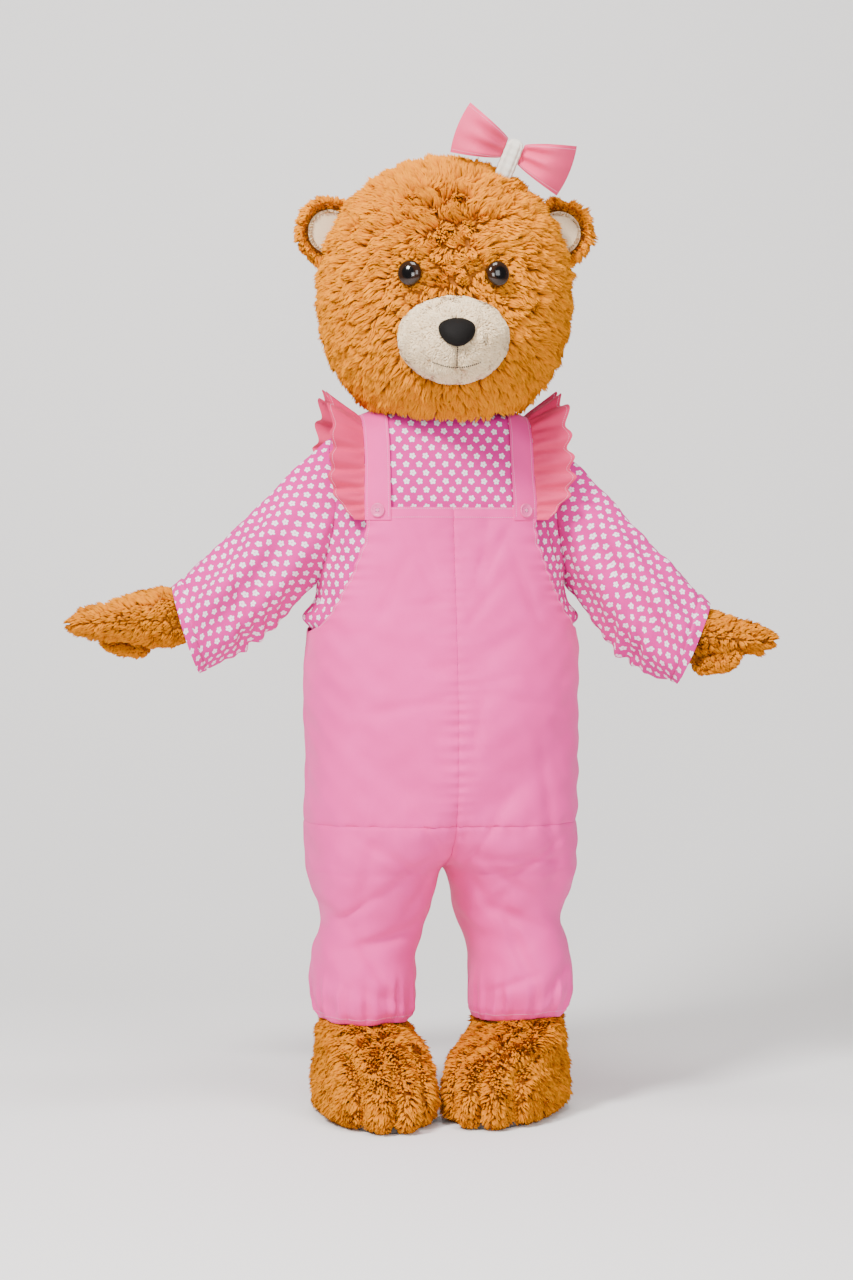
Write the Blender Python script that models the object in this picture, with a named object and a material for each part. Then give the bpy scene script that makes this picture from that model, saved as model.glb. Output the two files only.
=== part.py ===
"""A plush bear costume in the shape that it has when it is worn, with nobody in it.

Pieces: a hollow fur head with ears and a bow, a loose cotton blouse, bib dungarees with frilled
straps, fur mitts and fur boots. Metres, +Z up. The front faces -Y, and the wearer's left is +X.
Heights in the tables are above the floor. The origin is where the costume is held: between the
wearer's shoulders, SHOULDER_HEIGHT above the floor.
"""
import math
from collections import namedtuple

import bmesh
import bpy
import numpy as np

# Main sizes
SHOULDER_HEIGHT = 1.33
GAP = 0.0004
BLOUSE_CLOTH = 0.0015
DUNGAREE_CLOTH = 0.002
BODY_SQUARENESS = 0.9
BODY_TURN = math.radians(9)
SIDES = {"left": 1, "right": -1}

# Head, about its own centre
HEAD_HEIGHT = 1.5680
HEAD_FORWARD, HEAD_ACROSS = 0.03, 0.007
HEAD_TURN = math.radians(4)
HEAD_NOD = math.radians(2)
HEAD_HALF_WIDTH = 0.248
HEAD_HALF_DEPTH = 0.235
HEAD_HALF_HEIGHT = 0.268
HEAD_WALL = 0.030
NECK_RIM_LATITUDE = math.radians(-54)
CHIN_RIM_DROP = math.radians(7)
JAW_BULGE, JAW_LAT = 0.030, math.radians(-36)
JAW_WIDE, JAW_TALL = math.radians(42), math.radians(24)
HEAD_COLUMNS = 24
SEAT = 0.005

# Muzzle, eyes and nose
MUZZLE_LAT, MUZZLE_HALF_WIDTH, MUZZLE_HALF_TALL = math.radians(-19), 0.108, 0.078
MUZZLE_HIGH = 0.070
EYE_LON, EYE_LAT, EYE_RADIUS, EYE_HIGH = math.radians(19.5), math.radians(7), 0.023, 0.011
NOSE_HALF_WIDTH, NOSE_HALF_TALL, NOSE_HIGH, NOSE_UP = 0.034, 0.024, 0.016, 0.026
MUZZLE_COLUMNS = 20

# Ears, and the bow beside the left one
EAR_TILT, EAR_FACING = math.radians(20), math.radians(-8)
EAR_RADIUS, EAR_LINING_CLOTH = 0.070, 0.003
EAR_ANGLE, EAR_DISTANCE, EAR_RISE, EAR_BACK = math.radians(28), 0.250, 0.265, 0.015
BOW_LOOP_LONG, BOW_LOOP_DEEP = 0.098, 0.020
BOW_OUTER_HALF, BOW_KNOT_HALF = 0.050, 0.019
BOW_CLOTH = 0.002
KNOT_HALF_WIDE, KNOT_HALF_DEEP, KNOT_TOP, KNOT_BOTTOM = 0.017, 0.017, 0.024, 0.060
BOW_LEAN, BOW_TIP_BACK, BOW_FORWARD = math.radians(24), math.radians(8), 0.075
BOW_STAND_OFF = 0.052

GOLD_FUR = (0.56, 0.27, 0.055)
CREAM_PLUSH = (0.78, 0.58, 0.33)
BLACK_FELT = (0.012, 0.011, 0.011)
EYE_BROWN = (0.035, 0.016, 0.008)
ROSE_COTTON = (0.75, 0.16, 0.42)
PINK_TWILL = (0.86, 0.32, 0.56)
BOW_PINK = (0.90, 0.24, 0.45)
IVORY_TAPE = (0.86, 0.82, 0.74)
SOLE_GREY = (0.10, 0.09, 0.085)

Section = namedtuple("Section", "height half_width front back")
Leg = namedtuple("Leg", "height centre half_width front back")
Edge = namedtuple("Edge", "height turn")
Crease = namedtuple("Crease", "face across height slant long wide deep")
Cuff = namedtuple("Cuff", "across forward height half_height half_depth lean sag")
Round = namedtuple("Round", "along half_width half_thick")
Slice = namedtuple("Slice", "height half_width toe heel groove")

# Across the ear, from the middle of its dish over the rim to the middle of its back
EAR_PROFILE = [
    (0.0, -0.010), (0.30, -0.009), (0.52, 0.000), (0.66, 0.020), (0.80, 0.026), (0.93, 0.017),
    (1.0, 0.0), (0.93, -0.017), (0.66, -0.027), (0.0, -0.030),
]
EAR_LINING_ROWS = 3

# The blouse, from the tucked-in hem to the neckline
BLOUSE = [
    Section(0.850, 0.236, 0.166, 0.146),
    Section(0.920, 0.240, 0.168, 0.150),
    Section(0.960, 0.244, 0.166, 0.150),
    Section(1.020, 0.242, 0.160, 0.147),
    Section(1.100, 0.237, 0.148, 0.137),
    Section(1.200, 0.231, 0.134, 0.125),
    Section(1.270, 0.224, 0.121, 0.115),
    Section(1.305, 0.208, 0.112, 0.107),
    Section(1.330, 0.176, 0.103, 0.098),
    Section(1.352, 0.128, 0.091, 0.087),
    Section(1.372, 0.086, 0.076, 0.074),
]
UNDERARM, SHOULDER_POINT = 1.020, 1.300
ARMHOLE_TURN = math.radians(25)
POUCH_HEIGHT, POUCH_TALL, POUCH_TURN, POUCH_OUT = 0.962, 0.020, math.radians(17), 0.026

# The dungarees, one half: ankle to bib. Its tube leaves the middle to become a leg
LEGS = [
    Leg(0.186, 0.153, 0.0885, 0.1045, 0.0905),
    Leg(0.200, 0.154, 0.095, 0.116, 0.102),
    Leg(0.225, 0.156, 0.100, 0.124, 0.108),
    Leg(0.260, 0.156, 0.102, 0.127, 0.110),
    Leg(0.306, 0.153, 0.099, 0.122, 0.108),
    Leg(0.345, 0.145, 0.099, 0.118, 0.108),
    Leg(0.375, 0.135, 0.101, 0.120, 0.112),
    Leg(0.404, 0.134, 0.110, 0.128, 0.120),
    Leg(0.435, 0.1355, 0.121, 0.140, 0.132),
    Leg(0.470, 0.1325, 0.1315, 0.154, 0.146),
    Leg(0.505, 0.112, 0.151, 0.172, 0.160),
    Leg(0.560, 0.074, 0.189, 0.190, 0.174),
    Leg(0.640, 0.036, 0.226, 0.200, 0.181),
    Leg(0.740, 0.010, 0.252, 0.204, 0.181),
    Leg(0.840, 0.000, 0.262, 0.200, 0.176),
    Leg(0.920, 0.000, 0.258, 0.188, 0.166),
    Leg(0.985, 0.000, 0.2525, 0.176, 0.161),
    Leg(1.060, 0.000, 0.246, 0.163, 0.151),
    Leg(1.165, 0.000, 0.239, 0.147, 0.137),
]
ANKLE_HEM, THIGH_SEAM, BIB_TOP = 0.186, 0.565, 1.165
BIB_EDGE = [
    Edge(0.928, 0), Edge(0.936, 13), Edge(0.952, 24), Edge(0.985, 33),
    Edge(1.040, 42), Edge(1.100, 49), Edge(1.165, 51),
]
ANKLE_GATHERS, ANKLE_GATHER_DEEP, ANKLE_GATHER_TALL = 8, 0.003, 0.030

CREASES = [
    Crease("front", 0.115, 0.640, 38, 0.100, 0.022, 0.008),
    Crease("front", -0.120, 0.655, -42, 0.105, 0.024, 0.008),
    Crease("front", 0.075, 0.905, 24, 0.080, 0.020, 0.005),
    Crease("front", -0.070, 0.890, -20, 0.090, 0.022, 0.005),
    Crease("front", -0.165, 0.470, 80, 0.075, 0.018, 0.009),
    Crease("front", 0.200, 0.455, 98, 0.070, 0.018, 0.009),
    Crease("front", 0.095, 0.420, 60, 0.060, 0.018, 0.007),
    Crease("front", -0.085, 0.360, 25, 0.060, 0.015, 0.008),
    Crease("front", 0.215, 0.270, 52, 0.070, 0.014, 0.009),
    Crease("front", -0.125, 0.235, -18, 0.060, 0.013, 0.006),
    Crease("back", 0.120, 0.600, -40, 0.110, 0.024, 0.008),
    Crease("back", -0.125, 0.615, 36, 0.105, 0.022, 0.008),
    Crease("back", 0.060, 0.930, 15, 0.090, 0.020, 0.005),
    Crease("back", -0.180, 0.380, 24, 0.060, 0.015, 0.009),
    Crease("back", 0.150, 0.365, -22, 0.065, 0.015, 0.009),
    Crease("back", 0.165, 0.500, 78, 0.080, 0.020, 0.008),
]

# Where each sleeve ends. The wearer's left arm hangs a little lower
CUFFS = {
    "left": Cuff(0.482, -0.062, 0.906, 0.082, 0.074, math.radians(22), 0.040),
    "right": Cuff(-0.488, -0.053, 0.932, 0.086, 0.068, math.radians(17), 0.022),
}
SLEEVE_COLUMNS, SLEEVE_FULLNESS = 18, 0.028
SLEEVE_DRAPES, SLEEVE_DRAPE_DEEP = 5, 0.006

# Straps, frills and buttons
STRAP_INNER, STRAP_OUTER = 0.115, 0.160
STRAP_BOTTOM, STRAP_CLOTH, STRAP_LIFT = 1.140, 0.002, 0.0024
BIB_LIFT = 0.0088
FRILL_REACH, FRILL_WAVES, FRILL_WAVE_DEEP = 0.074, 14, 0.008
FRILL_CLOTH, FRILL_END_SHARE, FRILL_ROUNDED = 0.0015, 0.28, 0.16
FRILL_SIDEWAYS, FRILL_UP, FRILL_UP_ON_TOP = 0.86, 0.30, 0.60
BUTTON_RADIUS, BUTTON_THICK, BUTTON_HEIGHT, BUTTON_ACROSS = 0.0135, 0.0045, 1.156, 0.1375

# Mitts, from the wrist opening to the tip, and where each one sits
MITT = [
    Round(-0.075, 0.041, 0.048),
    Round(-0.030, 0.045, 0.053),
    Round(0.020, 0.055, 0.057),
    Round(0.070, 0.061, 0.050),
    Round(0.120, 0.061, 0.038),
    Round(0.160, 0.054, 0.031),
    Round(0.190, 0.040, 0.024),
    Round(0.205, 0.022, 0.014),
    Round(0.211, 0.0, 0.0),
]
MITT_WALL = 0.012
GROOVES_START, GROOVES_FULL = 0.075, 0.135
FINGER_GROOVE_DEEP, FINGER_GROOVE_WIDE = 0.009, 0.010
FINGER_GROOVES = (-0.021, 0.021)
MITT_PLACE = {"left": (0.440, -0.036, 0.9274), "right": (-0.505, -0.053, 0.9575)}
MITT_YAW = {"left": math.radians(-26), "right": math.radians(180 - 4)}
MITT_RISE = {"left": math.radians(4), "right": math.radians(-4)}
THUMB_RADIUS, THUMB_LONG, THUMB_START, THUMB_CLEAR = 0.019, 0.100, 0.060, 0.0017
THUMB_ACROSS, THUMB_SLANT = -0.032, -0.014

# Boots, from the floor to the top of the shaft hidden in the trouser leg
BOOT = [
    Slice(0.003, 0.103, 0.262, 0.098, 0.010),
    Slice(0.020, 0.110, 0.272, 0.106, 0.014),
    Slice(0.050, 0.113, 0.276, 0.110, 0.016),
    Slice(0.080, 0.112, 0.264, 0.110, 0.016),
    Slice(0.110, 0.107, 0.230, 0.106, 0.012),
    Slice(0.138, 0.099, 0.180, 0.100, 0.007),
    Slice(0.162, 0.090, 0.134, 0.093, 0.002),
    Slice(0.186, 0.082, 0.098, 0.084, 0.0),
    Slice(0.215, 0.078, 0.092, 0.080, 0.0),
    Slice(0.262, 0.076, 0.088, 0.078, 0.0),
]
BOOT_WALL, SOLE_THICK = 0.020, 0.012
TOE_GROOVES = (-0.052, 0.0, 0.052)
TOE_GROOVE_WIDE = 0.009
BOOT_FOOT_TOP, BOOT_SHAFT_BOTTOM = 0.100, 0.180
BOOT_PLACE = {"left": 0.153, "right": -0.153}
BOOT_TOE_IN = {"left": math.radians(-24), "right": math.radians(3)}
FOOT_IN = {"left": -0.014, "right": 0.014}


def along(rows, column, at):
    """A column of a table, on a smooth curve through its rows, at these heights or distances."""
    key = np.array([row[0] for row in rows])
    value = np.array([getattr(row, column) for row in rows], float)
    slope = np.gradient(value, key)
    at = np.clip(np.asarray(at, float), key[0], key[-1])
    low = np.clip(np.searchsorted(key, at) - 1, 0, len(key) - 2)
    step = key[low + 1] - key[low]
    t = (at - key[low]) / step
    rise = value[low + 1] - value[low]
    return (value[low] + rise * t * t * (3 - 2 * t)
            + step * t * (1 - t) * (slope[low] * (1 - t) - slope[low + 1] * t))


def power(value, exponent):
    """A signed power, which squares off an ellipse."""
    return np.sign(value) * np.abs(value) ** exponent


def faded(at, start, end):
    """0 at start and before, 1 at end and after, smooth between."""
    t = np.clip((np.asarray(at, float) - start) / (end - start), 0, 1)
    return t * t * (3 - 2 * t)


def grid_normals(points, closed):
    """A unit vector square to the sheet at each point of a grid."""
    if closed:
        wide = np.concatenate([points[:, -1:], points, points[:, :1]], axis=1)
        across = wide[:, 2:] - wide[:, :-2]
    else:
        across = np.gradient(points, axis=1)
    normal = np.cross(across, np.gradient(points, axis=0))
    return normal / np.maximum(np.linalg.norm(normal, axis=2, keepdims=True), 1e-12)


def material(name, colour, roughness, metallic=0.0):
    made = bpy.data.materials.get(name)
    if made is None:
        made = bpy.data.materials.new(name)
        made.use_nodes = True
        shader = made.node_tree.nodes["Principled BSDF"]
        shader.inputs["Base Color"].default_value = (*colour, 1)
        shader.inputs["Roughness"].default_value = roughness
        shader.inputs["Metallic"].default_value = metallic
    return made


def solid(name, points, faces, finish, parent):
    """One object from points and faces, with doubled points joined and faces turned outwards."""
    mesh = bpy.data.meshes.new(name)
    mesh.from_pydata([tuple(p) for p in points], [], faces)
    made = bpy.data.objects.new(name, mesh)
    bpy.context.scene.collection.objects.link(made)
    shape = bmesh.new()
    shape.from_mesh(mesh)
    bmesh.ops.remove_doubles(shape, verts=shape.verts, dist=1e-5)
    bmesh.ops.triangulate(shape, faces=shape.faces)
    bmesh.ops.recalc_face_normals(shape, faces=shape.faces)
    if shape.calc_volume(signed=True) < 0:
        bmesh.ops.reverse_faces(shape, faces=shape.faces)
    shape.to_mesh(mesh)
    shape.free()
    mesh.shade_smooth()
    mesh.set_sharp_from_angle(angle=math.radians(50))
    mesh.materials.append(finish)
    made.parent = parent
    return made


def wall(name, outer, inner, finish, parent, closed=False):
    """A closed wall between two grids of points. A closed grid joins its last column to its first."""
    rows, columns = outer.shape[:2]
    points = np.concatenate([outer.reshape(-1, 3), inner.reshape(-1, 3)])
    inside = rows * columns

    def at(row, column, layer=0):
        return row * columns + column % columns + layer * inside

    faces = []
    for row in range(rows - 1):
        for column in range(columns if closed else columns - 1):
            for layer in (0, 1):
                quad = [at(row, column, layer), at(row, column + 1, layer),
                        at(row + 1, column + 1, layer), at(row + 1, column, layer)]
                faces.append(quad if layer == 0 else quad[::-1])
    for row in (0, rows - 1):
        for column in range(columns if closed else columns - 1):
            quad = [at(row, column), at(row, column + 1), at(row, column + 1, 1), at(row, column, 1)]
            faces.append(quad[::-1] if row == 0 else quad)
    if not closed:
        for column in (0, columns - 1):
            for row in range(rows - 1):
                quad = [at(row, column), at(row + 1, column), at(row + 1, column, 1), at(row, column, 1)]
                faces.append(quad if column == 0 else quad[::-1])
    return solid(name, points, faces, finish, parent)


def cloth_inside(outer, thick, middle, closed=False):
    """The inner side of a cloth behind a grid of outer points. The cloth faces away from middle."""
    normal = grid_normals(outer, closed)
    if ((outer - middle) * normal).sum() < 0:
        normal = -normal
    inner = outer - normal * thick
    inner[0, :, 2] = outer[0, :, 2]
    inner[-1, :, 2] = outer[-1, :, 2]
    return inner


def kept_behind(inner, sign):
    """Keeps a panel's inner side on its own side of the side seams."""
    inner[..., 1] = sign * np.maximum(sign * inner[..., 1], GAP / 2)
    return inner


def empty(name, place, parent=None, turn=(0, 0, 0)):
    made = bpy.data.objects.new(name, None)
    made.location = place
    made.rotation_euler = turn
    made.parent = parent
    bpy.context.scene.collection.objects.link(made)
    return made


# The blouse

def blouse_point(turn, height, behind):
    """A point of the blouse's body. turn is 0 at the wearer's left side and pi at the right."""
    wide = along(BLOUSE, "half_width", height)
    deep = along(BLOUSE, "back", height) if behind else along(BLOUSE, "front", height)
    from_side = np.minimum(turn, math.pi - turn)
    pouch = POUCH_OUT * np.exp(-((height - POUCH_HEIGHT) / POUCH_TALL) ** 2 - (from_side / POUCH_TURN) ** 2)
    x = (wide + pouch) * power(np.cos(turn), BODY_SQUARENESS)
    y = deep * power(np.sin(turn), BODY_SQUARENESS) * (1 if behind else -1)
    return np.stack([x, y, height + 0 * turn], axis=-1)


def armhole_turn(height):
    """How far round from the side the armhole's edge lies. It is 0 above and below the armhole."""
    share = np.clip((height - UNDERARM) / (SHOULDER_POINT - UNDERARM), 0, 1)
    return ARMHOLE_TURN * np.sin(math.pi * share) ** 0.7


def blouse_body(parent):
    finish = material("rose_cotton", ROSE_COTTON, 0.8)
    beside_sleeve = armhole_height(np.linspace(0, math.pi, SLEEVE_COLUMNS // 2 + 1))
    heights = np.concatenate([[0.850, 0.925, 0.950, 0.972], beside_sleeve, [1.322, 1.345, 1.372]])
    share = np.linspace(0, 1, 13)
    for name, behind in (("blouse_front", False), ("blouse_back", True)):
        start = armhole_turn(heights)[:, None]
        turn = start + (math.pi - 2 * start) * share[None, :]
        outer = blouse_point(turn, heights[:, None], behind)
        outer[..., 1] += GAP / 2 * (1 if behind else -1)
        inner = cloth_inside(outer, BLOUSE_CLOTH, np.array([0, 0, 1.1]))
        wall(name, outer, kept_behind(inner, 1 if behind else -1), finish, parent)


def armhole_height(spin):
    return UNDERARM + (SHOULDER_POINT - UNDERARM) * (0.5 - 0.5 * np.cos(spin))


def armhole_loop(spin, side):
    """The armhole's edge, once round from the underarm by the front and the shoulder point."""
    height = armhole_height(spin)
    turn = armhole_turn(height)
    front, rear = blouse_point(turn, height, False), blouse_point(turn, height, True)
    loop = np.where((np.sin(spin) > 0)[..., None], front, rear)
    loop[..., 0] = (loop[..., 0] + 1.5 * GAP) * side
    across, forward = loop[..., 0].copy(), loop[..., 1].copy()
    loop[..., 0] = across * math.cos(BODY_TURN) - forward * math.sin(BODY_TURN)
    loop[..., 1] = across * math.sin(BODY_TURN) + forward * math.cos(BODY_TURN)
    return loop


def cuff_loop(spin, side, cuff):
    """The sleeve's end: an oval that leans out at the bottom less than at the top."""
    up = -cuff.half_height * np.cos(spin)
    return np.stack([cuff.across + side * up * math.sin(cuff.lean),
                     cuff.forward - cuff.half_depth * np.sin(spin),
                     cuff.height + up * math.cos(cuff.lean)], axis=-1)


def sleeve_point(spin, t, side, cuff):
    """A point of a sleeve: t runs from 0 at the armhole to 1 at the cuff."""
    t = np.asarray(t, float)[..., None]
    full = np.sin(math.pi * np.clip(t, 0, 1)) ** 0.8
    points = armhole_loop(spin, side) * (1 - t) + cuff_loop(spin, side, cuff) * t
    drape = SLEEVE_DRAPE_DEEP * full[..., 0] * np.sin(SLEEVE_DRAPES * spin + 2.1 * t[..., 0] * math.pi)
    out = (SLEEVE_FULLNESS * full[..., 0] + drape) * np.sin(spin)
    points[..., 1] -= out
    points[..., 2] -= cuff.sag * full[..., 0] ** 1.6 * np.clip(np.cos(spin), 0, 1)
    points[..., 2] += drape * 0.5 * np.abs(np.cos(spin)) * faded(t[..., 0], 0.1, 0.4)
    return points


def sleeves(parent):
    finish = material("rose_cotton", ROSE_COTTON, 0.8)
    spin = np.linspace(0, 2 * math.pi, SLEEVE_COLUMNS + 1)[:-1]
    t = np.array([0, 0.08, 0.22, 0.38, 0.56, 0.74, 0.90, 1.0])
    for side_name, side in SIDES.items():
        cuff = CUFFS[side_name]
        outer = sleeve_point(spin[None, :] + 0 * t[:, None], t[:, None] + 0 * spin[None, :], side, cuff)
        normal = grid_normals(outer, True)
        axis = outer.mean(axis=1, keepdims=True)
        if ((outer - axis) * normal).sum() < 0:
            normal = -normal
        wall(f"sleeve_{side_name}", outer, outer - normal * BLOUSE_CLOTH, finish, parent, closed=True)


# The dungarees

def creased(points, face):
    """How far each point of the dungarees is pressed in by the creases on its face."""
    depth = np.zeros(points.shape[:-1])
    for crease in CREASES:
        if crease.face != face:
            continue
        slant = math.radians(crease.slant)
        dx, dz = points[..., 0] - crease.across, points[..., 2] - crease.height
        lengthways = dx * math.cos(slant) + dz * math.sin(slant)
        sideways = dz * math.cos(slant) - dx * math.sin(slant)
        depth += crease.deep * np.exp(-(lengthways / crease.long) ** 2 - (sideways / crease.wide) ** 2)
    return depth


def seam_turn(height):
    """How far round a half's tube the centre seam lies: pi below the crotch, where it is the inseam."""
    ratio = np.clip(along(LEGS, "centre", height) / along(LEGS, "half_width", height), 0, 1)
    return math.pi - np.arccos(ratio ** (1 / BODY_SQUARENESS))


def dungaree_point(turn, height, side, face):
    """A point of one half of the dungarees. turn is 0 at the side seam."""
    centre, wide = along(LEGS, "centre", height), along(LEGS, "half_width", height)
    deep = along(LEGS, face, height)
    low = 1 - faded(height, ANKLE_HEM, ANKLE_HEM + ANKLE_GATHER_TALL)
    gather = ANKLE_GATHER_DEEP * low * np.cos(ANKLE_GATHERS * turn)
    x = np.maximum(centre + (wide + gather) * power(np.cos(turn), BODY_SQUARENESS), 0)
    y = (deep + gather) * power(np.sin(turn), BODY_SQUARENESS) * (-1 if face == "front" else 1)
    points = np.stack([side * x, y, height + 0 * turn], axis=-1)
    press = creased(points, face) * np.sin(np.clip(turn, 0, math.pi)) ** 0.5
    press *= faded(x, 0, 0.03)
    points[..., 1] += press * (1 if face == "front" else -1)
    return points


def dungaree_panel(name, side, face, heights, columns, parent):
    edge = np.radians(np.interp(heights, [e.height for e in BIB_EDGE], [e.turn for e in BIB_EDGE]))[:, None]
    share = np.linspace(0, 1, columns)[None, :]
    turn = edge + (seam_turn(heights)[:, None] - edge) * share
    outer = dungaree_point(turn, heights[:, None] + 0 * turn, side, face)
    outer[..., 0] += side * GAP / 2
    outer[..., 1] += GAP / 2 * (-1 if face == "front" else 1)
    outer[..., 2] += GAP / 2 * (1 if heights[-1] > THIGH_SEAM else -1)
    middle = np.stack([side * along(LEGS, "centre", heights), 0 * heights, heights], axis=-1)
    inner = cloth_inside(outer, DUNGAREE_CLOTH, middle[:, None, :])
    inner[..., 0] = side * np.maximum(side * inner[..., 0], GAP / 2)
    kept_behind(inner, -1 if face == "front" else 1)
    wall(name, outer, inner, material("pink_twill", PINK_TWILL, 0.6), parent)


def dungarees(parent):
    upper = np.array([THIGH_SEAM, 0.620, 0.690, 0.770, 0.850, 0.928, 0.952, 0.985, 1.040, 1.100, BIB_TOP])
    lower = np.array([ANKLE_HEM, 0.206, 0.240, 0.280, 0.318, 0.352, 0.385, 0.425, 0.462, 0.485, 0.515,
                      THIGH_SEAM])
    for side_name, side in SIDES.items():
        for face in ("front", "back"):
            dungaree_panel(f"body_{face}_{side_name}", side, face, upper, 8, parent)
            dungaree_panel(f"leg_{face}_{side_name}", side, face, lower, 9, parent)


# Straps, frills and buttons

def shoulder_lane(x, count):
    """Points at one distance from the middle, up the chest, over the shoulder and down the back."""
    height = np.linspace(STRAP_BOTTOM, BLOUSE[-1].height, 900)
    wide = along(BLOUSE, "half_width", height)
    height = height[wide > x]
    turn = np.arccos((x / wide[wide > x]) ** (1 / BODY_SQUARENESS))
    front = -along(BLOUSE, "front", height) * np.sin(turn) ** BODY_SQUARENESS
    rear = along(BLOUSE, "back", height) * np.sin(turn) ** BODY_SQUARENESS
    y = np.concatenate([front, rear[::-1]])
    z = np.concatenate([height, height[::-1]])
    walked = np.concatenate([[0], np.cumsum(np.hypot(np.diff(y), np.diff(z)))])
    at = np.linspace(0, walked[-1], count)
    return np.stack([np.full(count, x), np.interp(at, walked, y), np.interp(at, walked, z)], axis=-1)


def strap_lift(count):
    """How far the strap's underside stands off the blouse: over the bib's cloth at both ends."""
    t = np.linspace(0, 1, count)
    over_bib = 1 - faded(np.minimum(t, 1 - t), 0.05, 0.22)
    return STRAP_LIFT + (BIB_LIFT - STRAP_LIFT) * over_bib


def strap_grid(count, lanes):
    grid = np.stack([shoulder_lane(x, count) for x in lanes], axis=1)
    normal = grid_normals(grid, False)
    if normal[count // 2, 0, 2] < 0:
        normal = -normal
    return grid, normal


def straps(parent):
    finish = material("pink_twill", PINK_TWILL, 0.6)
    count = 19
    lanes = np.linspace(STRAP_INNER, STRAP_OUTER, 3)
    grid, normal = strap_grid(count, lanes)
    lift = strap_lift(count)[:, None, None]
    for side_name, side in SIDES.items():
        mirror = np.array([side, 1, 1])
        low, high = (grid + normal * lift) * mirror, (grid + normal * (lift + STRAP_CLOTH)) * mirror
        wall(f"strap_{side_name}", high, low, finish, parent)


def frill_point(t, reach, grid, normal, lift):
    """A point of the frill: t along the strap's outer edge, reach 0 at the seam and 1 at the hem."""
    count = len(grid)
    spot = t * (count - 1)
    seam = (grid + normal * lift)[:, 0]
    root = np.stack([np.interp(spot, np.arange(count), seam[:, k]) for k in range(3)], -1)
    up = np.stack([np.interp(spot, np.arange(count), normal[:, 0, k]) for k in range(3)], -1)
    top = np.sin(math.pi * t) ** 2
    out = np.array([FRILL_SIDEWAYS, 0, 0]) + up * (FRILL_UP + FRILL_UP_ON_TOP * top)[..., None]
    out /= np.linalg.norm(out, axis=-1, keepdims=True)
    from_end = np.minimum(t, 1 - t)
    rounded = np.sin(np.minimum(from_end / FRILL_ROUNDED, 1) * math.pi / 2)
    width = FRILL_REACH * (FRILL_END_SHARE + (1 - FRILL_END_SHARE) * rounded)
    wave = np.sin(2 * math.pi * FRILL_WAVES * t + 0.8 * np.sin(7 * t))
    deep = FRILL_WAVE_DEEP * wave * (0.12 + 0.88 * reach) * faded(from_end, 0.0, 0.08)
    return (root + out * (width * reach)[..., None] + up * (deep + STRAP_CLOTH)[..., None]
            + np.array([GAP, 0, 0]))


def frills(parent):
    finish = material("pink_twill", PINK_TWILL, 0.6)
    count = 61
    grid, normal = strap_grid(count, np.array([STRAP_OUTER - 0.002, STRAP_OUTER]))
    grid, normal, lift = grid[:, 1:], normal[:, 1:], strap_lift(count)[:, None, None]
    t, reach = np.meshgrid(np.linspace(0, 1, 4 * FRILL_WAVES + 1), np.array([0, 0.5, 1.0]), indexing="ij")
    outer = frill_point(t, reach, grid, normal, lift)
    face = grid_normals(outer, False)
    if face[len(face) // 2, 0, 2] < 0:
        face = -face
    for side_name, side in SIDES.items():
        mirror = np.array([side, 1, 1])
        wall(f"frill_{side_name}", outer * mirror, (outer - face * FRILL_CLOTH) * mirror, finish, parent)


def turned(name, profile, count, place, axis_turn, finish, parent):
    """A solid turned about its own Z from a closed profile of (radius, height) points."""
    spin = np.linspace(0, 2 * math.pi, count + 1)[:-1]
    points, faces = [], []
    for radius, height in profile:
        points += [(radius * math.cos(a), radius * math.sin(a), height) for a in spin]
    for row in range(len(profile) - 1):
        for column in range(count):
            beside = (column + 1) % count
            faces.append([row * count + column, row * count + beside,
                          (row + 1) * count + beside, (row + 1) * count + column])
    made = solid(name, points, faces, finish, parent)
    made.location = place
    made.rotation_euler = axis_turn
    return made


def buttons(parent):
    finish = material("pink_button", BOW_PINK, 0.35)
    grid, normal = strap_grid(61, BUTTON_ACROSS + np.array([-0.0065, 0, 0.0065]))
    spot = int(np.argmin(np.abs(grid[:20, 1, 2] - BUTTON_HEIGHT)))
    lift = strap_lift(61)[spot]
    face = normal[spot, 1]
    place = grid[spot, 1] + face * (lift + STRAP_CLOTH + 1.5 * GAP)
    profile = [(0, 0), (BUTTON_RADIUS * 0.96, 0), (BUTTON_RADIUS, BUTTON_THICK * 0.35),
               (BUTTON_RADIUS * 0.93, BUTTON_THICK), (BUTTON_RADIUS * 0.72, BUTTON_THICK),
               (BUTTON_RADIUS * 0.60, BUTTON_THICK * 0.62), (0, BUTTON_THICK * 0.62)]
    for side_name, side in SIDES.items():
        tip = math.acos(face[2])
        heading = math.atan2(face[1], side * face[0])
        turned(f"button_{side_name}", profile, 12, tuple(place * np.array([side, 1, 1])),
               (0, tip, heading), finish, parent)


# The head

def head_point(lon, lat, out=0.0):
    """A point of the head, out metres outside its fur. lon is 0 at the front, lat 90 degrees on top."""
    jaw = JAW_BULGE * np.exp(-(lon / JAW_WIDE) ** 2 - ((lat - JAW_LAT) / JAW_TALL) ** 2)
    flat = np.maximum(np.cos(lat), 0) ** 0.94
    rise = power(np.sin(lat), 0.97)
    x = (HEAD_HALF_WIDTH + out) * flat * np.sin(lon)
    y = -(HEAD_HALF_DEPTH + out + jaw) * flat * np.cos(lon)
    z = (HEAD_HALF_HEIGHT + out + 0.4 * jaw) * rise
    return np.stack([x, y, z + 0 * x], axis=-1)


def rim_latitude(lon):
    """The neck opening's edge, which dips under the chin."""
    return NECK_RIM_LATITUDE - CHIN_RIM_DROP * np.exp(-(lon / math.radians(50)) ** 2)


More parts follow.
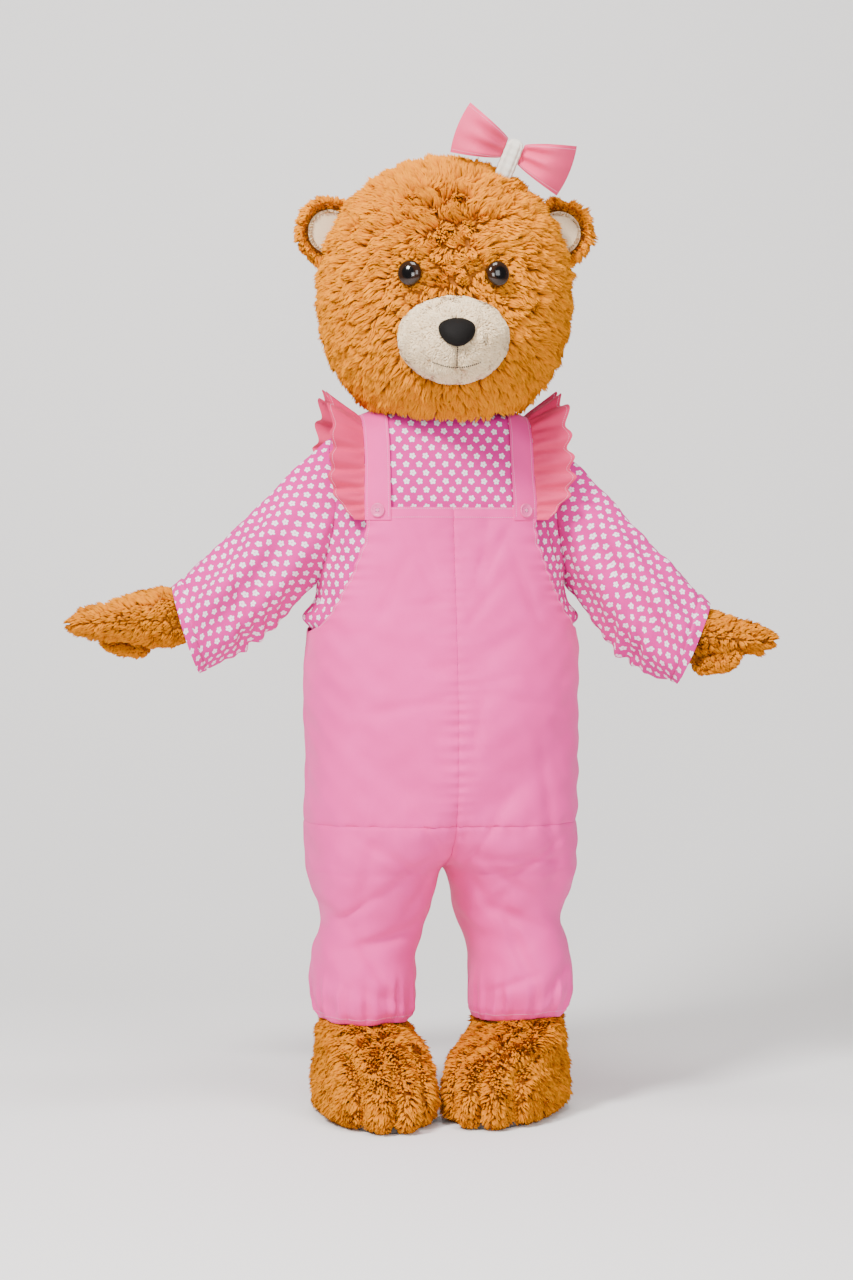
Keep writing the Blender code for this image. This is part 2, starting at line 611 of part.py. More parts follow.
def head_grid(lon, out):
    """The head's rows of points from the neck rim to the crown, out metres outside its fur."""
    wrapped = (lon + math.pi) % (2 * math.pi) - math.pi
    climb = np.array([0, 0.06, 0.14, 0.24, 0.35, 0.47, 0.60, 0.73, 0.86, 1.0])[:, None]
    lat = rim_latitude(wrapped) + (math.pi / 2 - rim_latitude(wrapped)) * climb
    return head_point(wrapped, lat, out)


def head_shell(parent):
    finish = material("gold_fur", GOLD_FUR, 0.95)
    for name, middle in (("head_front", 0.0), ("head_back", math.pi)):
        lon = middle + np.linspace(-math.pi / 2, math.pi / 2, HEAD_COLUMNS // 2 + 1)[None, :]
        outer, inner = head_grid(lon, 0.0), head_grid(lon, -HEAD_WALL)
        for grid in (outer, inner):
            grid[..., 1] += GAP / 2 * (-1 if middle == 0 else 1)
        wall(name, outer, inner, finish, parent)


def dome_point(spot, x_share, z_share, out=0.0):
    """A point of a padded dome on the face, from its place across and up the dome's outline."""
    lon, lat, reach_x, reach_z, high = spot
    heading = np.array([math.sin(lon), -math.cos(lon) * math.cos(lat * 0.5), math.sin(lat * 0.5)])
    base = head_point(lon + reach_x / HEAD_HALF_WIDTH * x_share, lat + reach_z / HEAD_HALF_HEIGHT * z_share)
    puff = high * np.sqrt(np.clip(1 - x_share ** 2 - z_share ** 2, 0, 1))
    return base + heading / np.linalg.norm(heading) * (puff + out)[..., None]


def dome_grid(spot, columns, out=0.0):
    spin = np.linspace(0, 2 * math.pi, columns + 1)[:-1][None, :]
    share = np.array([1.0, 0.92, 0.72, 0.42, 0.0])[:, None]
    return dome_point(spot, share * np.cos(spin), share * np.sin(spin), out)


def seated_dome(name, front, finish, parent, cutter):
    """A dome with its back sunk into what carries it, then trimmed to lie on it."""
    back = front[:1] + np.array([0, SEAT, 0])
    middle = np.repeat(back.mean(axis=1, keepdims=True), front.shape[1], axis=1)
    rings = np.concatenate([middle, back, front])
    trimmed(solid(name, rings.reshape(-1, 3), rows_of_faces(rings), finish, parent), cutter)


def face_pieces(parent, cutter):
    plush = material("cream_plush", CREAM_PLUSH, 0.9)
    glass = material("eye_brown", EYE_BROWN, 0.1)
    muzzle = (0.0, MUZZLE_LAT, MUZZLE_HALF_WIDTH, MUZZLE_HALF_TALL, MUZZLE_HIGH)
    seated_dome("muzzle", dome_grid(muzzle, MUZZLE_COLUMNS), plush, parent, cutter)
    for side_name, side in SIDES.items():
        eye = (side * EYE_LON, EYE_LAT, EYE_RADIUS, EYE_RADIUS, EYE_HIGH)
        seated_dome(f"eye_{side_name}", dome_grid(eye, 12), glass, parent, cutter)
    spin = np.linspace(0, 2 * math.pi, 15)[:-1][None, :]
    share = np.array([1.0, 0.9, 0.6, 0.0])[:, None]
    wide = NOSE_HALF_WIDTH * share * np.cos(spin) * (1 + 0.22 * np.sin(spin))
    tall = NOSE_HALF_TALL * share * power(np.sin(spin), 0.9) + NOSE_UP
    puff = 0.002 + NOSE_HIGH * np.sqrt(1 - share ** 2) + 0 * spin
    front = dome_point(muzzle, wide / MUZZLE_HALF_WIDTH, tall / MUZZLE_HALF_TALL, puff)
    grown = dome_grid(muzzle, MUZZLE_COLUMNS, GAP)
    cutter = cutting_body("muzzle_cutter", grown, 2 * SEAT, parent)
    seated_dome("nose", front, material("black_felt", BLACK_FELT, 0.7), parent, cutter)


def rows_of_faces(grid):
    """Faces between the rows of a grid whose last column joins its first."""
    rows, columns = grid.shape[:2]
    return [[row * columns + c, row * columns + (c + 1) % columns,
             (row + 1) * columns + (c + 1) % columns, (row + 1) * columns + c]
            for row in range(rows - 1) for c in range(columns)]


def cutting_body(name, grid, behind, parent):
    """A hidden solid from a grid of outer points, closed behind, which trims what sits on it."""
    back = np.repeat(grid[:1].mean(axis=1, keepdims=True), grid.shape[1], axis=1)
    back = back + np.array([0, behind, 0])
    points = np.concatenate([back, grid])
    cutter = solid(name, points.reshape(-1, 3), rows_of_faces(points),
                   material("gold_fur", GOLD_FUR, 0.95), parent)
    cutter.hide_render = True
    cutter.display_type = "WIRE"
    return cutter


def head_cutter(parent):
    """The head's outside, grown by the gap."""
    lon = -math.pi / 2 + np.linspace(0, 2 * math.pi, HEAD_COLUMNS + 1)[:-1][None, :]
    return cutting_body("head_cutter", head_grid(lon, GAP), 0.0, parent)


def trimmed(piece, cutter):
    cut = piece.modifiers.new("fits_head", "BOOLEAN")
    cut.operation = "DIFFERENCE"
    cut.solver = "EXACT"
    cut.object = cutter


def ears(parent, cutter):
    spin = np.linspace(0, 2 * math.pi, 19)[:-1][None, :]
    share = np.array([row[0] for row in EAR_PROFILE])[:, None]
    ahead = np.array([row[1] for row in EAR_PROFILE])[:, None]
    fur, plush = material("gold_fur", GOLD_FUR, 0.95), material("cream_plush", CREAM_PLUSH, 0.9)
    grid = np.stack([EAR_RADIUS * share * np.cos(spin), -ahead + 0 * spin,
                     EAR_RADIUS * share * np.sin(spin)], axis=-1)
    for side_name, side in SIDES.items():
        place = (side * EAR_DISTANCE * math.cos(EAR_ANGLE), EAR_BACK, EAR_RISE * math.sin(EAR_ANGLE))
        stand = empty(f"ear_stand_{side_name}", place, parent, (0, side * EAR_TILT, side * EAR_FACING))
        ear = solid(f"ear_{side_name}", grid.reshape(-1, 3), rows_of_faces(grid), fur, stand)
        trimmed(ear, cutter)
        under = grid[:EAR_LINING_ROWS] + np.array([0, -GAP, 0])
        over = under + np.array([0, -EAR_LINING_CLOTH, 0])
        lining = wall(f"ear_lining_{side_name}", over, under, plush, stand, closed=True)
        trimmed(lining, cutter)


def bow(parent, cutter):
    """Two open loops of folded cloth with a knot, standing on the head beside one ear."""
    distance = HEAD_HALF_HEIGHT + BOW_STAND_OFF
    stand = empty("bow_stand", (distance * 0.94 * math.sin(BOW_LEAN), -BOW_FORWARD,
                                (distance - 0.022) * math.cos(BOW_LEAN)), parent,
                  (BOW_TIP_BACK, BOW_LEAN * 0.9, 0))
    cloth_finish = material("bow_pink", BOW_PINK, 0.5)
    spin = np.linspace(0, 2 * math.pi, 17)[:-1][None, :]
    level = np.linspace(-1, 1, 4)[:, None]
    out = 0.5 - 0.5 * np.cos(spin)
    for side_name, side in SIDES.items():
        x = KNOT_HALF_WIDE * 0.985 + BOW_LOOP_LONG * out * (1 - 0.06 * level ** 2)
        half = BOW_KNOT_HALF + (BOW_OUTER_HALF - BOW_KNOT_HALF) * out ** 0.8
        deep = 0.0055 + BOW_LOOP_DEEP * np.sin(math.pi * np.clip(out, 0, 1)) ** 0.8
        y = deep * power(np.sin(spin), 0.8) * (1 + 0.16 * np.cos(2.5 * math.pi * level) * (1 - out))
        outer = np.stack([side * x, y + 0 * level, half * level + 0.004 * out], axis=-1)
        centre = np.array([side * (KNOT_HALF_WIDE + BOW_LOOP_LONG / 2), 0, 0])
        inner = cloth_inside(outer, BOW_CLOTH, centre, closed=True)
        wall(f"bow_loop_{side_name}", outer, inner, cloth_finish, stand, closed=True)
    ring = (np.linspace(0, 2 * math.pi, 13)[:-1] + 0.13)[None, :]
    rise = np.array([-1, -0.9, 0.1, 0.86, 1])[:, None]
    swell = np.array([0.0, 0.8, 1.0, 0.8, 0.0])[:, None]
    centre_z, half_z = (KNOT_TOP - KNOT_BOTTOM) / 2, (KNOT_TOP + KNOT_BOTTOM) / 2
    points = np.stack([KNOT_HALF_WIDE * swell * power(np.cos(ring), 0.6),
                       KNOT_HALF_DEEP * swell * power(np.sin(ring), 0.6),
                       centre_z + half_z * rise + 0 * ring], axis=-1)
    knot = solid("bow_knot", points.reshape(-1, 3), rows_of_faces(points),
                 material("ivory_tape", IVORY_TAPE, 0.6), stand)
    trimmed(knot, cutter)


# Mitts

def mitt_point(spin, place, out=0.0):
    """A point of a mitt lying along +X with its palm up. spin is 0 at the front edge."""
    wide = np.maximum(along(MITT, "half_width", place) + out, 0)
    thick = np.maximum(along(MITT, "half_thick", place) + out, 0)
    y, z = -wide * np.cos(spin), thick * np.sin(spin)
    if out == 0:
        for groove in FINGER_GROOVES:
            deep = FINGER_GROOVE_DEEP * np.exp(-((y - groove) / FINGER_GROOVE_WIDE) ** 2)
            deep = deep * faded(place, GROOVES_START, GROOVES_FULL)
            z = z - np.sign(z) * np.minimum(deep, 0.6 * np.abs(z))
    return np.stack([place + 0 * spin, y, z], axis=-1)


def mitts(parent):
    finish = material("gold_fur", GOLD_FUR, 0.95)
    place = np.array([-0.075, -0.02, 0.04, 0.085, 0.125, 0.160, 0.190, 0.205, 0.211])[:, None]
    inside = np.array([-0.075, -0.02, 0.04, 0.085, 0.122, 0.150, 0.172, 0.187, 0.197])[:, None]
    for side_name, side in SIDES.items():
        stand = empty(f"hand_{side_name}", MITT_PLACE[side_name], parent,
                      (0, MITT_RISE[side_name] * side, MITT_YAW[side_name]))
        for name, first in (("mitt_palm", 0.0), ("mitt_back", math.pi)):
            spin = first + np.linspace(0, math.pi, 10)[None, :]
            outer = mitt_point(spin, place)
            shrink = np.clip((0.205 - inside) / 0.03, 0, 1) ** 0.5
            inner = mitt_point(spin, inside, -MITT_WALL)
            inner[-1] = [inside[-1, 0], 0, 0]
            inner[..., 1:] *= np.where(inside > 0.175, shrink, 1)[..., None]
            for grid in (outer, inner):
                grid[..., 2] += GAP / 2 * (1 if first == 0 else -1)
            wall(f"{name}_{side_name}", outer, inner, finish, stand)
        thumb(side_name, stand, finish)


def thumb(side_name, stand, finish):
    """A stuffed thumb that lies under the palm's front edge."""
    spin = np.linspace(0, 2 * math.pi, 11)[:-1][None, :]
    t = np.array([0.0, 0.05, 0.20, 0.50, 0.80, 0.95, 1.0])[:, None]
    radius = THUMB_RADIUS * np.sqrt(np.clip(1 - (2 * t - 1) ** 4, 0, 1)) * (0.86 + 0.14 * t)
    x = THUMB_START + THUMB_LONG * t
    y = THUMB_ACROSS + THUMB_SLANT * t
    share = y / along(MITT, "half_width", x)
    under = -along(MITT, "half_thick", x) * np.sqrt(np.clip(1 - share ** 2, 0, 1))
    z = under - radius * 1.06 - THUMB_CLEAR
    points = np.stack([x + 0 * spin, y + radius * np.cos(spin), z + radius * np.sin(spin)], axis=-1)
    solid(f"thumb_{side_name}", points.reshape(-1, 3), rows_of_faces(points), finish, stand)


# Boots

def boot_point(spin, height, side_name, out=0.0):
    """A point of a boot about its ankle, toes towards -Y. spin is 0 at the toes."""
    wide = along(BOOT, "half_width", height) + out
    reach = np.where(np.cos(spin) > 0, along(BOOT, "toe", height), along(BOOT, "heel", height)) + out
    x = wide * power(np.sin(spin), 0.85)
    y = -reach * power(np.cos(spin), 0.85)
    if out == 0:
        ahead = faded(np.cos(spin), 0.05, 0.5)
        for groove in TOE_GROOVES:
            y = y + along(BOOT, "groove", height) * ahead * np.exp(-((x - groove) / TOE_GROOVE_WIDE) ** 2)
    low = 1 - faded(height, BOOT_FOOT_TOP, BOOT_SHAFT_BOTTOM)
    turn = BOOT_TOE_IN[side_name] * low
    return np.stack([x * np.cos(turn) - y * np.sin(turn) + FOOT_IN[side_name] * low,
                     x * np.sin(turn) + y * np.cos(turn), height + 0 * spin], axis=-1)


def boots(parent):
    fur, rubber = material("gold_fur", GOLD_FUR, 0.95), material("sole_grey", SOLE_GREY, 0.8)
    heights = np.array([0.003, 0.030, 0.070, 0.110, 0.145, 0.186, 0.262])[:, None]
    ahead = np.arcsin(np.linspace(-1, 1, 17)) * 0.97
    behind = math.pi / 2 + np.linspace(0.20, math.pi - 0.20, 6)
    spin = np.concatenate([ahead, behind])[None, :]
    for side_name in SIDES:
        stand = empty(f"ankle_{side_name}", (BOOT_PLACE[side_name], 0, 0), parent)
        wall(f"boot_{side_name}", boot_point(spin, heights, side_name),
             boot_point(spin, heights, side_name, -BOOT_WALL), fur, stand, closed=True)
        rim = boot_point(spin[0], np.full(spin.shape[1], BOOT[0].height), side_name, -BOOT_WALL - 2 * GAP)
        middle = rim[:, :2].mean(axis=0)
        levels = [(0.0, 0.965), (0.002, 1.0), (SOLE_THICK, 1.0)]
        rings = [np.column_stack([middle + (rim[:, :2] - middle) * share, np.full(len(rim), level)])
                 for level, share in levels]
        points = np.concatenate([[[*middle, levels[0][0]]]] + rings + [[[*middle, levels[-1][0]]]])
        count = len(rim)
        faces = [[0, 1 + (c + 1) % count, 1 + c] for c in range(count)]
        for row in range(len(levels) - 1):
            faces += [[1 + row * count + c, 1 + row * count + (c + 1) % count,
                       1 + (row + 1) * count + (c + 1) % count, 1 + (row + 1) * count + c]
                      for c in range(count)]
        last = 1 + (len(levels) - 1) * count
        faces += [[last + c, last + (c + 1) % count, len(points) - 1] for c in range(count)]
        solid(f"sole_{side_name}", points, faces, rubber, stand)


def main():
    """Builds every piece, held at the shoulders and at rest on the floor."""
    for found in list(bpy.data.objects):
        bpy.data.objects.remove(found)
    held = empty("held_at_shoulders", (0, 0, -SHOULDER_HEIGHT))
    body = empty("body_turned", (0, 0, 0), held, (0, 0, BODY_TURN))
    blouse_body(body)
    sleeves(held)
    dungarees(body)
    straps(body)
    frills(body)
    buttons(body)
    head = empty("head_centre", (HEAD_ACROSS, -HEAD_FORWARD, HEAD_HEIGHT), held, (HEAD_NOD, 0, HEAD_TURN))
    head_shell(head)
    cutter = head_cutter(head)
    face_pieces(head, cutter)
    ears(head, cutter)
    bow(head, cutter)
    mitts(held)
    boots(body)


main()
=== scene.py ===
"""The looks of a plush bear costume in its worn shape: cloth, fur, seams and stitches.

Each section makes one piece or one group of like pieces. Heights in the tables are above the floor,
in metres, and HOLD is the height of the frame's origin, where the wearer holds the costume up.
"""
import math
from collections import namedtuple

import bpy
import numpy as np
from mathutils import Euler, Matrix, kdtree


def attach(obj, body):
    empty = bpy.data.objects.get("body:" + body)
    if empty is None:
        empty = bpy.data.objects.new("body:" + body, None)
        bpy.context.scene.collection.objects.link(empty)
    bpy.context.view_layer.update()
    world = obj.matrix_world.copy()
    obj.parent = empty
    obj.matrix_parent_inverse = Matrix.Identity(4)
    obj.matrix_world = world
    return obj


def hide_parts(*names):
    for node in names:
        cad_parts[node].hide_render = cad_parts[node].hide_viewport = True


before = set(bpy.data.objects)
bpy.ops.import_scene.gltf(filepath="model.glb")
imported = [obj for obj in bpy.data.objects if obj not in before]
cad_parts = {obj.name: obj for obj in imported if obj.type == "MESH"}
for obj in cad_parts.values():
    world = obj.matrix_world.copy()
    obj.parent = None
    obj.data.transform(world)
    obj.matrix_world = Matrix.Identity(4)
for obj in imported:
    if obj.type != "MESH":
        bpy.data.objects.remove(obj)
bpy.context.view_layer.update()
HOLD = 1.33


# Camera
# It stands 6 m in front of the costume at chest height and looks down a little, through a long lens.
METRES_PER_PIXEL, CAMERA_DISTANCE = 0.00193, 6.0
CAMERA_HEIGHT, AIM_HEIGHT, AIM_ACROSS = 1.08, 0.911, -0.028

camera = bpy.data.objects.new("camera", bpy.data.cameras.new("camera"))
bpy.context.scene.collection.objects.link(camera)
camera.location = (AIM_ACROSS, -CAMERA_DISTANCE, CAMERA_HEIGHT - HOLD)
camera.rotation_euler = (math.pi / 2 - math.atan2(CAMERA_HEIGHT - AIM_HEIGHT, CAMERA_DISTANCE), 0, 0)
camera.data.sensor_width = 36
camera.data.lens = 36 * CAMERA_DISTANCE / (1280 * METRES_PER_PIXEL)
bpy.context.scene.camera = camera


# Backdrop and light
# A pale grey paper sweep, lit by soft panels from above, in front and both sides. The paper is
# clear from behind, so the costume's back can be seen too.
SWEEP_GREY, AIR_COLOUR, AIR_STRENGTH = (0.90, 0.882, 0.862), (0.96, 0.97, 1.0), 0.22
SWEEP_CURVE, SWEEP_TOP = 1.6, 6.0
LIT_SPOT = (0.0, 0.0, -0.3)
Panel = namedtuple("Panel", "name place size watts")
PANELS = [
    Panel("key", (-2.0, -3.2, 3.0), 1.0, 430),
    Panel("fill", (2.4, -4.4, 1.4), 2.0, 95),
    Panel("top", (0.3, -1.2, 3.6), 1.6, 130),
    Panel("front", (0.0, -5.6, 0.6), 1.6, 120),
]


def mesh_object(name, points, faces, cut=None, cut_name="Cut"):
    """An object from an array of points and an array of faces, with a map of its cut per corner."""
    mesh = bpy.data.meshes.new(name)
    points, faces = np.asarray(points, np.float32).reshape(-1, 3), np.asarray(faces, np.int32)
    count, corners = faces.shape
    mesh.vertices.add(len(points))
    mesh.vertices.foreach_set("co", points.ravel())
    mesh.loops.add(count * corners)
    mesh.loops.foreach_set("vertex_index", faces.ravel())
    mesh.polygons.add(count)
    mesh.polygons.foreach_set("loop_start", np.arange(count, dtype=np.int32) * corners)
    mesh.update(calc_edges=True)
    if cut is not None:
        layer = mesh.uv_layers.new(name=cut_name)
        layer.data.foreach_set("uv", np.asarray(cut, np.float32).ravel())
    mesh.shade_smooth()
    made = bpy.data.objects.new(name, mesh)
    bpy.context.scene.collection.objects.link(made)
    return made


def plain_shader(name, roughness, colour=(0.8, 0.8, 0.8)):
    """A new material with its tree and its Principled shader."""
    made = bpy.data.materials.new(name)
    made.use_nodes = True
    shader = made.node_tree.nodes["Principled BSDF"]
    shader.inputs["Base Color"].default_value = (*colour, 1)
    shader.inputs["Roughness"].default_value = roughness
    return made, made.node_tree, shader


def noise_texture(tree, scale, detail=2, vector=None):
    """A Noise Texture's value, over the piece's own generated coordinates where no vector is given."""
    node = tree.nodes.new("ShaderNodeTexNoise")
    node.inputs["Scale"].default_value = scale
    node.inputs["Detail"].default_value = detail
    if vector is not None:
        tree.links.new(vector, node.inputs["Vector"])
    return node.outputs["Fac"]


def mixed(tree, factor, first, second):
    """A Mix node's colour. The factor is a socket, and each colour a socket or a tuple."""
    node = tree.nodes.new("ShaderNodeMix")
    node.data_type = "RGBA"
    tree.links.new(factor, node.inputs["Factor"])
    for socket, value in (("A", first), ("B", second)):
        if isinstance(value, tuple):
            node.inputs[socket].default_value = (*value, 1)
        else:
            tree.links.new(value, node.inputs[socket])
    return node.outputs["Result"]


def dyed(tree, shader, factor, first, second):
    """Colours a shader between two colours by a factor."""
    tree.links.new(mixed(tree, factor, first, second), shader.inputs["Base Color"])


sweep_turns = np.linspace(0.1, math.pi / 2, 16)
sweep_profile = [(-5.0, 0.0), (SWEEP_CURVE, 0.0)]
sweep_profile += [(SWEEP_CURVE * (1 + math.sin(a)), SWEEP_CURVE * (1 - math.cos(a))) for a in sweep_turns]
sweep_profile += [(2 * SWEEP_CURVE, SWEEP_TOP)]
sweep_points = [(x, y, z - HOLD) for y, z in sweep_profile for x in (-7.0, 7.0)]
sweep_faces = [(2 * i, 2 * i + 1, 2 * i + 3, 2 * i + 2) for i in range(len(sweep_profile) - 1)]
sweep = mesh_object("paper_sweep", sweep_points, sweep_faces)
sweep_paper, tree, shader = plain_shader("sweep_paper", 0.95)
darker, lighter = tuple(c * 0.97 for c in SWEEP_GREY), tuple(c * 1.03 for c in SWEEP_GREY)
dyed(tree, shader, noise_texture(tree, 1.4), darker, lighter)
paper_side = tree.nodes.new("ShaderNodeNewGeometry")
clear = tree.nodes.new("ShaderNodeBsdfTransparent")
either = tree.nodes.new("ShaderNodeMixShader")
tree.links.new(paper_side.outputs["Backfacing"], either.inputs[0])
tree.links.new(shader.outputs[0], either.inputs[1])
tree.links.new(clear.outputs[0], either.inputs[2])
tree.links.new(either.outputs[0], tree.nodes["Material Output"].inputs["Surface"])
sweep.data.materials.append(sweep_paper)

for lamp in PANELS:
    panel = bpy.data.objects.new(f"panel_{lamp.name}", bpy.data.lights.new(lamp.name, "AREA"))
    panel.data.size, panel.data.energy = lamp.size, lamp.watts
    panel.location = lamp.place
    aim = np.array(LIT_SPOT) - np.array(lamp.place)
    panel.rotation_euler = (math.atan2(math.hypot(aim[0], aim[1]), -aim[2]), 0, math.atan2(-aim[0], aim[1]))
    bpy.context.scene.collection.objects.link(panel)
world = bpy.data.worlds.new("studio_air")
world.use_nodes = True
air = world.node_tree.nodes["Background"]
air.inputs["Color"].default_value = (*AIR_COLOUR, 1)
air.inputs["Strength"].default_value = AIR_STRENGTH
bpy.context.scene.world = world


# Blouse body
# Soft rose cotton with a print of small white flowers, cut as a front and a back. It is loose, bags
# out over the sides of the dungarees and is tucked in below. The folds are pressed in at the sides.
SIDES = {"left": 1, "right": -1}
GAP = 0.0004
BODY_SQUARENESS = 0.9
BODY_TURN = math.radians(9)
BLOUSE_CLOTH = 0.0013
Section = namedtuple("Section", "height half_width front back")
BLOUSE = [
    Section(0.850, 0.236, 0.166, 0.146),
    Section(0.920, 0.240, 0.168, 0.150),
    Section(0.960, 0.244, 0.166, 0.150),
    Section(1.020, 0.242, 0.160, 0.147),
    Section(1.100, 0.237, 0.148, 0.137),
    Section(1.200, 0.231, 0.134, 0.125),
    Section(1.270, 0.224, 0.121, 0.115),
    Section(1.305, 0.208, 0.112, 0.107),
    Section(1.330, 0.176, 0.103, 0.098),
    Section(1.352, 0.128, 0.091, 0.087),
    Section(1.372, 0.086, 0.076, 0.074),
]
UNDERARM, SHOULDER_POINT = 1.020, 1.300
ARMHOLE_TURN = math.radians(25)
POUCH_HEIGHT, POUCH_TALL, POUCH_TURN, POUCH_OUT = 0.956, 0.023, math.radians(17), 0.026
FLOWER_ACROSS, FLOWER_DOWN, FLOWER_RADIUS = 0.0247, 0.0163, 0.0062
ROSE, FLOWER_WHITE = (0.68, 0.012, 0.27), (0.97, 0.82, 0.91)
FLOWER_RIM, FLOWER_HEART = (0.36, 0.10, 0.34), (0.80, 0.42, 0.60)
body_at = Matrix.Translation((0, 0, -HOLD)) @ Matrix.Rotation(BODY_TURN, 4, "Z")


def along(rows, column, at):
    """A column of a table, on a smooth curve through its rows, at these heights or distances."""
    key = np.array([row[0] for row in rows])
    value = np.array([getattr(row, column) for row in rows], float)
    slope = np.gradient(value, key)
    at = np.clip(np.asarray(at, float), key[0], key[-1])
    low = np.clip(np.searchsorted(key, at) - 1, 0, len(key) - 2)
    step = key[low + 1] - key[low]
    t = (at - key[low]) / step
    rise = value[low + 1] - value[low]
    return (value[low] + rise * t * t * (3 - 2 * t)
            + step * t * (1 - t) * (slope[low] * (1 - t) - slope[low + 1] * t))


def power(value, exponent):
    """A signed power, which squares off an ellipse."""
    return np.sign(value) * np.abs(value) ** exponent


def faded(at, start, end):
    """0 at start and before, 1 at end and after, smooth between."""
    t = np.clip((np.asarray(at, float) - start) / (end - start), 0, 1)
    return t * t * (3 - 2 * t)


def bump_at(at, middle, wide):
    """1 at the middle, fading to nothing a few widths away."""
    return np.exp(-((at - middle) / wide) ** 2)


def moved(points, matrix):
    """Points of one place's own frame, in the frame of the whole costume."""
    turn, place = np.array(matrix.to_3x3()), np.array(matrix.translation)
    return points @ turn.T + place


def ripple(points, wavelength, seed, waves=7):
    """A smooth seeded unevenness, about -1 to 1, whose humps are about a wavelength apart."""
    rng = np.random.default_rng(seed)
    heading = rng.normal(size=(waves, 3))
    heading *= (2 * math.pi / wavelength) * rng.uniform(0.6, 1.3, (waves, 1)) / np.linalg.norm(
        heading, axis=1, keepdims=True)
    phase = rng.uniform(0, 2 * math.pi, waves)
    return np.sin(points @ heading.T + phase).sum(axis=-1) * math.sqrt(2 / waves) * 0.7


def unit(vectors):
    return vectors / np.maximum(np.linalg.norm(vectors, axis=-1, keepdims=True), 1e-9)


def grid_normals(points, closed):
    """A unit vector square to the sheet at each point of a grid."""
    if closed:
        wide = np.concatenate([points[:, -1:], points, points[:, :1]], axis=1)
        across = wide[:, 2:] - wide[:, :-2]
    else:
        across = np.gradient(points, axis=1)
    normal = np.cross(across, np.gradient(points, axis=0))
    return normal / np.maximum(np.linalg.norm(normal, axis=2, keepdims=True), 1e-12)


def facing(points, middle, closed=False):
    """Normals of a grid that point away from its middle, and 1 or -1 for how its faces are wound."""
    normal = grid_normals(points, closed)
    sign = 1 if ((points - middle) * normal).sum() > 0 else -1
    return normal * sign, sign


def cut_map(points, closed):
    """Where each point lies on the flat cloth, in metres: across from its middle and along."""
    row = np.concatenate([points, points[:, :1]], axis=1) if closed else points
    walked = np.linalg.norm(np.diff(row, axis=1), axis=2).cumsum(axis=1)
    across = np.concatenate([np.zeros((len(row), 1)), walked], axis=1)
    middle = row.shape[1] // 2
    across = across - across[:, middle:middle + 1]
    step = np.linalg.norm(np.diff(row, axis=0), axis=2)[:, middle]
    down = np.concatenate([[0], step.cumsum()])
    return np.stack([across, np.repeat(down[:, None], row.shape[1], axis=1)], axis=-1)


def walled(name, outer, inner, sign, closed=False, cut=None):
    """A thin closed wall between an outer and an inner grid."""
    rows, columns = outer.shape[:2]
    cut = cut_map(outer, closed) if cut is None else cut
    wide = cut.shape[1]
    last = columns if closed else columns - 1
    row, column = np.meshgrid(np.arange(rows - 1), np.arange(last), indexing="ij")
    beside = (column + 1) % columns
    quads = np.stack([row * columns + column, row * columns + beside,
                      (row + 1) * columns + beside, (row + 1) * columns + column], -1).reshape(-1, 4)
    spots = np.stack([row * wide + column, row * wide + column + 1,
                      (row + 1) * wide + column + 1, (row + 1) * wide + column], -1).reshape(-1, 4)
    layer = rows * columns
    faces, places = [quads, quads[:, ::-1] + layer], [spots, spots[:, ::-1]]
    c = np.arange(last)
    for r, turned in ((0, False), (rows - 1, True)):
        a, b, sa, sb = r * columns + c, r * columns + (c + 1) % columns, r * wide + c, r * wide + c + 1
        rim, spot = np.stack([b, a, a + layer, b + layer], -1), np.stack([sb, sa, sa, sb], -1)
        faces.append(rim[:, ::-1] if turned else rim)
        places.append(spot[:, ::-1] if turned else spot)
    if not closed:
        r = np.arange(rows - 1)
        for k, turned in ((0, False), (columns - 1, True)):
            a, b, sa, sb = r * columns + k, (r + 1) * columns + k, r * wide + k, (r + 1) * wide + k
            rim, spot = np.stack([a, b, b + layer, a + layer], -1), np.stack([sa, sb, sb, sa], -1)
            faces.append(rim[:, ::-1] if turned else rim)
            places.append(spot[:, ::-1] if turned else spot)
    faces, places = np.concatenate(faces), np.concatenate(places)
    if sign < 0:
        faces, places = faces[:, ::-1], places[:, ::-1]
    points = np.concatenate([outer.reshape(-1, 3), inner.reshape(-1, 3)])
    made = mesh_object(name, points, faces, cut.reshape(-1, 2)[places])
    made.data.set_sharp_from_angle(angle=math.radians(62))
    return made


def sheet_of(name, outer, thick, middle, closed=False, cut=None):
    """A cloth wall behind a grid of outer points."""
    normal, sign = facing(outer, middle, closed)
    return walled(name, outer, outer - normal * thick, sign, closed, cut)


def new_group(name, inputs, outputs):
    """An empty node group with named inputs, each with its start value, and named outputs."""
    group = bpy.data.node_groups.new(name, "ShaderNodeTree")
    for socket, kind, start in inputs:
        made = group.interface.new_socket(socket, in_out="INPUT", socket_type=kind)
        if start is not None:
            made.default_value = start
    for socket, kind in outputs:
        group.interface.new_socket(socket, in_out="OUTPUT", socket_type=kind)
    return group, group.nodes.new("NodeGroupInput"), group.nodes.new("NodeGroupOutput")


def maths(tree, operation, first, second=None, third=None):
    """A Math node's result. Each input is a socket or a number."""
    node = tree.nodes.new("ShaderNodeMath")
    node.operation = operation
    for slot, value in enumerate((first, second, third)):
        if value is None:
            continue
        if isinstance(value, (int, float)):
            node.inputs[slot].default_value = value
        else:
            tree.links.new(value, node.inputs[slot])
    return node.outputs[0]


def cut_socket(tree, name="Cut"):
    node = tree.nodes.new("ShaderNodeUVMap")
    node.uv_map = name
    return node.outputs["UV"]


